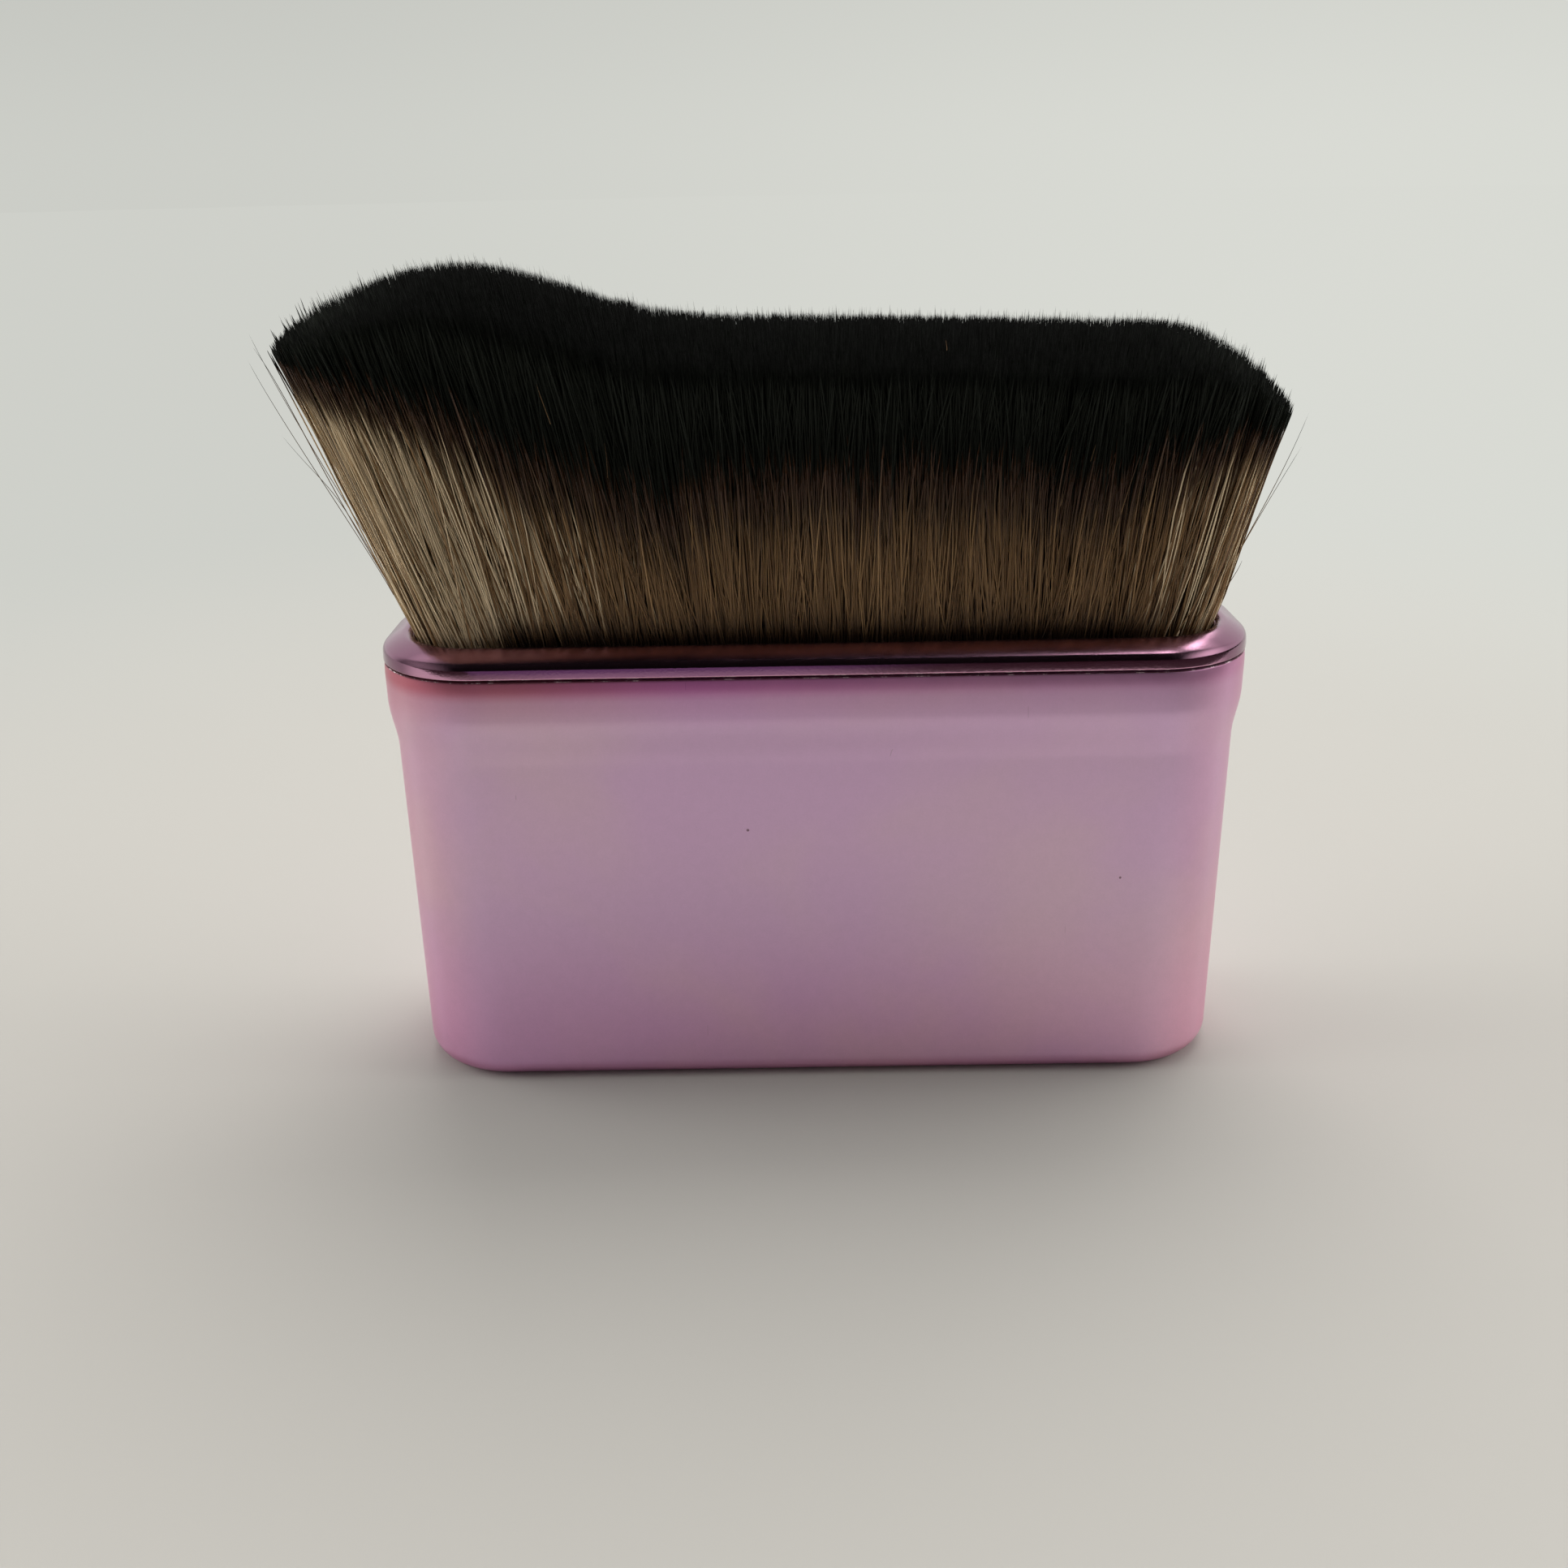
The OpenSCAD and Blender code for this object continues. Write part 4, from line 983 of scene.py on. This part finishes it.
class BRUSH_OT_filaments(Operator):
    """Make the filaments of the head, six hanks of outer and inner filaments, and the wisps over them"""

    bl_idname = "brush.filaments"
    bl_label = "Filaments"

    def execute(self, context):
        head, hair = context.scene.brush_head, context.scene.brush_filaments
        colours = context.scene.brush_colours
        finishes = [filament_finish(colours, "Taupe filament", 0.4), filament_finish(colours, "Dyed filament", 0.04)]
        rng = np.random.default_rng(hair.seed)

        x, y, depth = root_grid(head, hair.outer_pitch, rng)
        keep = (depth < hair.outer_depth) & ((depth > SKIN) | (rng.random(len(x)) < SKIN_SHARE))
        x, y, depth = x[keep], y[keep], depth[keep]
        # Towards the ends fewer filaments are dark brown for painted shade, more are pale for painted side light, and
        #         their feet get less painted shade
        end = side_light_share(x / half_root(head, y))
        in_deep_shade = rng.random(len(x)) < np.minimum(ramp(depth, *SUNK), SUNK_MOST) * (1 - SUNK_LESS * end)
        columns = column_picks(rng, in_deep_shade, DEEP_SHADE, ORDINARY)
        lit_from_side = ~in_deep_shade & (rng.random(len(x)) < SIDE_LIT_SHARE * end)
        columns = np.where(lit_from_side, rng.integers(*SIDE_LIT, len(x)), columns)
        # Wisps stand just inside the front and back edges of the packed root, half of them at each
        n = 2 * hair.wisps
        wisp_x, side = rng.uniform(-1, 1, n), np.sign(np.arange(n) - hair.wisps + 0.5)
        wisp_y = side * rng.uniform(WISP_LOW, WISP_HIGH, n) * half_sizes(head)[1]
        wisp_x = wisp_x * (half_root(head, wisp_y) - WISP_IN)
        # Towards the ends more wisps are pale, for painted side light
        pale = rng.random(n) < SIDE_LIT_WISPS * side_light_share(wisp_x / half_root(head, wisp_y))
        wisp_columns = column_picks(rng, pale, SIDE_LIT, WISP_COLUMNS)
        groups = [(at_x, at_y, *filament_lines(head, hair, at_x, at_y, rng, OUTER_LEVELS, wild=wild, outward=out), own)
                  for at_x, at_y, own, wild, out in ((x, y, columns, OUTER_WILD, 0.0),
                                                     (wisp_x, wisp_y, wisp_columns, WISP_WILD, WISP_OUT))]
        self.put("bristles_outer", head, hair, groups, finishes, rng)

        x, y, depth = root_grid(head, hair.inner_pitch, rng)
        keep = depth >= hair.outer_depth * OVERLAP
        x, y = x[keep], y[keep]
        lines, s, _ = filament_lines(head, hair, x, y, rng, np.array([0.5, 1.0]))
        # The inner filaments start a crown's depth below the tip, or where the dye starts if that is lower
        low = np.minimum(1 - hair.crown_depth / (lines[:, 1:, 2] - head.root_z), s[:, :1])
        made = filament_lines(head, hair, x, y, np.random.default_rng(hair.seed + 20),
                              shares=low + (1 - low) * INNER_SHARES)
        # Towards the ends inner filaments get painted side light, and the others are dark brown for painted shade
        light = rng.random(len(x)) < side_light_share(x / half_root(head, y))
        columns = column_picks(rng, light, SIDE_LIT_INNER_COLUMNS, DEEP_SHADE)
        self.put("bristles_inner", head, hair, [(x, y, *made, columns)], finishes, rng)
        return {"FINISHED"}

    def put(self, name, head, hair, groups, finishes, rng):
        """One piece for each hank, from all the groups of filaments that stand in it."""
        for hank in range(HANKS):
            made, first = [], 0
            for x, y, lines, s, levels, columns in groups:
                mine = hank_of(head, x, y) == hank
                thick = hair.thick * rng.uniform(THIN, THICK, mine.sum())
                points, corners, *rest = tubes(lines[mine], s[mine], levels[mine], thick, rng, columns[mine])
                made.append((points, corners + first, *rest))
                first += len(points)
            points, corners, face_sizes, dyed, uv = (np.concatenate(parts) for parts in zip(*made))
            piece = new_piece(f"{name}_{hank + 1}", "bristles", points, corners, face_sizes, finishes, dyed, uv)
            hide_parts(f"bristle_hank_{hank + 1}")


class BRUSH_OT_head_core(Operator):
    """Make the dark middle of the head, where the filaments are packed closely, as a solid in painted shade"""

    bl_idname = "brush.head_core"
    bl_label = "Head core"

    def execute(self, context):
        head, hair = context.scene.brush_head, context.scene.brush_filaments
        places, ways = outline_path(head.root_x, head.root_y, 10, 60, 4)
        # Rings go up the side and then in over the top: shares of the reach and of the height
        reach = np.concatenate([np.ones(CORE_RINGS), np.linspace(1, 0, TOP_RINGS)[1:]])[:, None, None]
        height = np.concatenate([np.linspace(0, 1, CORE_RINGS), np.ones(TOP_RINGS - 1)])[:, None]
        flat = places * (CORE_MIDDLE + (1 - CORE_MIDDLE) * reach) + (head.root_round - hair.core_in) * reach * ways
        x, y = flat[..., 0], flat[..., 1]
        u, v = (at / half for at, half in zip((x, y), half_sizes(head)))
        low = head.root_z - CORE_SUNK
        top = cut_height(head, x + lean(head, u, v), y + head.fan_depth * v) - hair.core_down
        s = height * (top - low) / (top + hair.core_down - low)
        grid = np.stack([x + lean(head, u, v) * leaned(head, u, s), y + head.fan_depth * v * s,
                         low + (top - low) * height], 2)
        new_piece("bristle_core", "bristles", *capped(grid), [shaded_core_finish(context.scene.brush_colours)])
        return {"FINISHED"}


class BRUSH_OT_loose_hairs(Operator):
    """Make the loose filaments that stand off both ends of the head or lie over its front"""

    bl_idname = "brush.loose_hairs"
    bl_label = "Loose hairs"

    def execute(self, context):
        rng = np.random.default_rng(context.scene.brush_filaments.seed + 40)
        # A cubic through the four places: each place times the product that is 1 there and 0 at the others
        t = np.linspace(0, 1, 19)
        knots = np.array([0, 1, 2, 3]) / 3
        weights = np.stack([np.prod([(t - other) / (knot - other) for other in knots if other != knot], 0)
                            for knot in knots])
        lines = np.einsum("kt,hkc->htc", weights, HAIRS)
        n = len(lines)
        s = np.broadcast_to(t, (n, len(t)))
        on_front = np.arange(n) >= FRONT_HAIRS
        # Hairs over the front stay taupe, and those at the ends darken over the last fifth of their length
        levels = np.where(on_front[:, None], 0.2 + 0.05 * s, np.where(s < 0.8, 0.2 + 0.2 * s, 0.36 + (s - 0.8) * 2.9))
        thick = np.where(on_front, FRONT_THICK, END_THICK) * rng.uniform(0.85, 1.15, n)
        columns = np.where(on_front, 16 + np.arange(n) % 7, rng.integers(*ORDINARY, n))
        points, corners, face_sizes, dyed, uv = tubes(lines, s, levels, thick, rng, columns, taper_from=0.5, point=0.3)
        finishes = [bpy.data.materials["Taupe filament"], bpy.data.materials["Dyed filament"]]
        new_piece("loose_hairs", "bristles", points, corners, face_sizes, finishes, dyed, uv)
        return {"FINISHED"}


LAMP_PLACE, LAMP_AIM = np.array([0.20, 0.70, 1.20]), np.array([0.0, 0.0, 0.03])
LAMP_SIZE = (1.2, 1.0)
WINDOW_WAY = (0.286, -0.02, 0.958)  # direction of the small window that the metal shows
LENS = 36.0  # the camera's focal length and the width of its picture, in millimetres


class BRUSH_OT_stage(Operator):
    """Set up the pale floor and background, the soft light and the camera"""

    bl_idname = "brush.stage"
    bl_label = "Stage"

    def execute(self, context):
        stage = context.scene.brush_stage
        self.floor(stage)
        self.world(stage)
        self.lamp(stage)
        self.camera(context, stage)
        context.scene.view_settings.view_transform = "Standard"
        return {"FINISHED"}

    def floor(self, stage):
        """A wide disc whose far part shows the background's own brightness to the camera and in reflections."""
        angle = np.linspace(0, 2 * np.pi, 97)[:-1]
        reach = np.array([0.02, 0.1, 0.3, 1.0, 4.0])[:, None]
        grid = np.stack([reach * np.cos(angle), reach * np.sin(angle), 0 * reach * angle], 2)
        faces = grid_faces(*grid.shape[:2])[:, ::-1].tolist() + [list(range(len(angle)))]
        mesh = bpy.data.meshes.new("floor")
        mesh.from_pydata(grid.reshape(-1, 3).tolist(), [], faces)
        finish, n = new_finish("Pale floor", Roughness=0.9, Specular_IOR_Level=0.1)
        place = n.place()
        tint = n.mix(n.spread(n.noise(place, 9), 0.3, 0.7), stage.floor, scaled(stage.floor, 0.985))
        n.feed("Principled BSDF", Base_Color=tint)
        rays = n.add("LightPath").outputs
        seen = n.most(rays["Is Camera Ray"], n.most(rays["Is Glossy Ray"], rays["Is Transmission Ray"]))
        away = n.add("VectorMath", {0: place}, operation="LENGTH").outputs["Value"]
        far = n.times(n.spread(away, 0.075, 0.27), seen)
        # Reflections show the darker room past the front of the pale sheet, whose edge turns back at the right
        x, y, _ = n.parts(place)
        turned = n.times(n.most(n.maths("SUBTRACT", x, 0.062), 0.0), -0.9)
        edge = n.plus(y, n.plus(n.spread(x, 0.0, 0.05, 0.0, 0.006), turned))
        room = n.times(n.spread(edge, -0.120, -0.140), rays["Is Glossy Ray"])
        # A dim sheet hangs in that room, and the background is a little brighter at the right
        way = n.parts(n.add("VectorMath", {0: place}, operation="NORMALIZE").outputs[0])[0]
        sheet = n.times(n.spread(way, -0.36, -0.27), n.spread(way, 0.11, 0.0))
        shown = n.mix(room, stage.backdrop, n.mix(sheet, stage.room, stage.sheet))
        glow = n.add("Emission", {"Color": shown, "Strength": n.most(n.spread(way, -0.42, 0.36, 0.925, 1.03), room)})
        share_far = n.most(far, n.times(room, n.spread(x, 0.0, 0.03, 0.75, 0.98)))
        shader = n.tree.nodes["Principled BSDF"]
        both = n.add("MixShader", {0: share_far, 1: shader.outputs[0], 2: glow.outputs[0]})
        n.feed("Material Output", Surface=both.outputs[0])
        mesh.materials.append(finish)
        floor = bpy.data.objects.new("floor", mesh)
        bpy.context.scene.collection.objects.link(floor)

    def world(self, stage):
        """Light from all round, brighter from behind than from the front, and a plain background for the camera."""
        world = bpy.context.scene.world or bpy.data.worlds.new("Studio")
        bpy.context.scene.world = world
        n = Nodes(world)
        direction = n.add("TexCoord").outputs["Generated"]
        x, y, z = n.parts(direction)
        rays = n.add("LightPath").outputs
        side = n.times(n.spread(n.maths("ABSOLUTE", x), 0.6, 0.95, 0.0, 5.2), n.spread(y, -0.5, 0.0))
        level = n.times(n.most(n.spread(y, -0.6, 0.4, 0.10, 0.72), side), stage.ambient)
        # The metal shows the pale backdrop behind and at the sides, the dark room in front and one small window above
        behind, right, left = (n.spread(y, 0.0, 0.5, 0.004, 0.95), n.spread(x, 0.52, 0.93, 0.0, 0.95),
                               n.spread(x, -0.45, -0.95, 0.0, 0.20))
        towards = n.add("VectorMath", {0: direction, 1: WINDOW_WAY}, operation="DOT_PRODUCT")
        window = n.spread(towards.outputs["Value"], 0.9945, 0.9988, 0.0, 4.6)
        mirrored = n.most(n.most(behind, n.most(right, left)), window)
        upper = n.mix(n.spread(z, 0.0, 0.12), stage.backdrop, scaled(stage.backdrop, 0.925))
        light, mirror, shown = (n.add("Background", {"Color": tint, "Strength": strength}).outputs[0]
                                for tint, strength in ((stage.ambient_tint, level), (stage.mirror_tint, mirrored),
                                                       (upper, n.spread(x, -0.42, 0.36, 0.90, 1.035))))
        lit = n.add("MixShader", {0: rays["Is Glossy Ray"], 1: light, 2: mirror})
        both = n.add("MixShader", {0: rays["Is Camera Ray"], 1: lit.outputs[0], 2: shown})
        n.feed("World Output", Surface=both.outputs[0])

    def lamp(self, stage):
        """A broad soft lamp above and behind, a little to the right, that looks at the lower part of the brush."""
        lamp = bpy.data.lights.new("soft_lamp", "AREA")
        lamp.shape = "RECTANGLE"
        lamp.size, lamp.size_y = LAMP_SIZE
        lamp.energy = stage.lamp_power
        lamp.color = stage.lamp_tint
        back = unit(LAMP_PLACE - LAMP_AIM)
        set_up("soft_lamp", lamp, LAMP_PLACE, unit(np.cross([0, 1, 0], back)), back)

    def camera(self, context, stage):
        """The camera stands where the photograph was taken: place, aim and right side make its matrix."""
        data = bpy.data.cameras.new("camera")
        data.sensor_width, data.lens, data.clip_start = LENS, LENS, 0.01
        ahead = unit(np.array(stage.camera_ahead))
        right = np.array(stage.camera_right)
        right = unit(right - ahead * (right @ ahead))
        context.scene.camera = set_up("camera", data, stage.camera_place, right, -ahead)


def unit(vector):
    """The direction of a vector: the vector over its length."""
    return vector / np.linalg.norm(vector)


def set_up(name, data, place, right, back):
    """Puts a lamp or a camera in the scene: the columns of its matrix are right, up, back and its place."""
    matrix = np.eye(4)
    matrix[:3, :3] = np.stack([right, np.cross(back, right), back], 1)
    matrix[:3, 3] = place
    holder = bpy.data.objects.new(name, data)
    holder.matrix_world = Matrix(matrix.tolist())
    bpy.context.scene.collection.objects.link(holder)
    return holder


class BRUSH_PT_panel(Panel):
    """Buttons for each piece of the brush, with the sizes and colours that they read"""

    bl_idname = "BRUSH_PT_panel"
    bl_label = "Body brush"
    bl_space_type = "VIEW_3D"
    bl_region_type = "UI"
    bl_category = "Brush"

    def draw(self, context):
        for operator in PIECES:
            self.layout.operator(operator.bl_idname)
        for name, group in GROUPS.items():
            box = self.layout.box()
            box.label(text=group.__doc__)
            for prop in group.__annotations__:
                box.prop(getattr(context.scene, name), prop)


GROUPS = {
    "brush_handle": BrushHandleSizes,
    "brush_collar": BrushCollarSizes,
    "brush_head": BrushHeadSizes,
    "brush_filaments": BrushFilamentSettings,
    "brush_colours": BrushFinishColours,
    "brush_stage": BrushStageSettings,
}
PIECES = (BRUSH_OT_handle, BRUSH_OT_collar, BRUSH_OT_inner_parts, BRUSH_OT_filaments,
          BRUSH_OT_head_core, BRUSH_OT_loose_hairs, BRUSH_OT_stage)


def register():
    """Registers the property groups, the operators and the panel."""
    for name, group in GROUPS.items():
        bpy.utils.register_class(group)
        setattr(bpy.types.Scene, name, PointerProperty(type=group))
    for cls in (*PIECES, BRUSH_PT_panel):
        bpy.utils.register_class(cls)


def unregister():
    """Takes the panel, the operators and the property groups away again."""
    for cls in (BRUSH_PT_panel, *reversed(PIECES)):
        bpy.utils.unregister_class(cls)
    for name, group in reversed(GROUPS.items()):
        delattr(bpy.types.Scene, name)
        bpy.utils.unregister_class(group)


def main():
    register()
    bpy.ops.brush.handle()
    bpy.ops.brush.collar()
    bpy.ops.brush.inner_parts()
    bpy.ops.brush.filaments()
    bpy.ops.brush.head_core()
    bpy.ops.brush.loose_hairs()
    bpy.ops.brush.stage()
    bpy.context.view_layer.update()


if __name__ == "__main__":
    main()
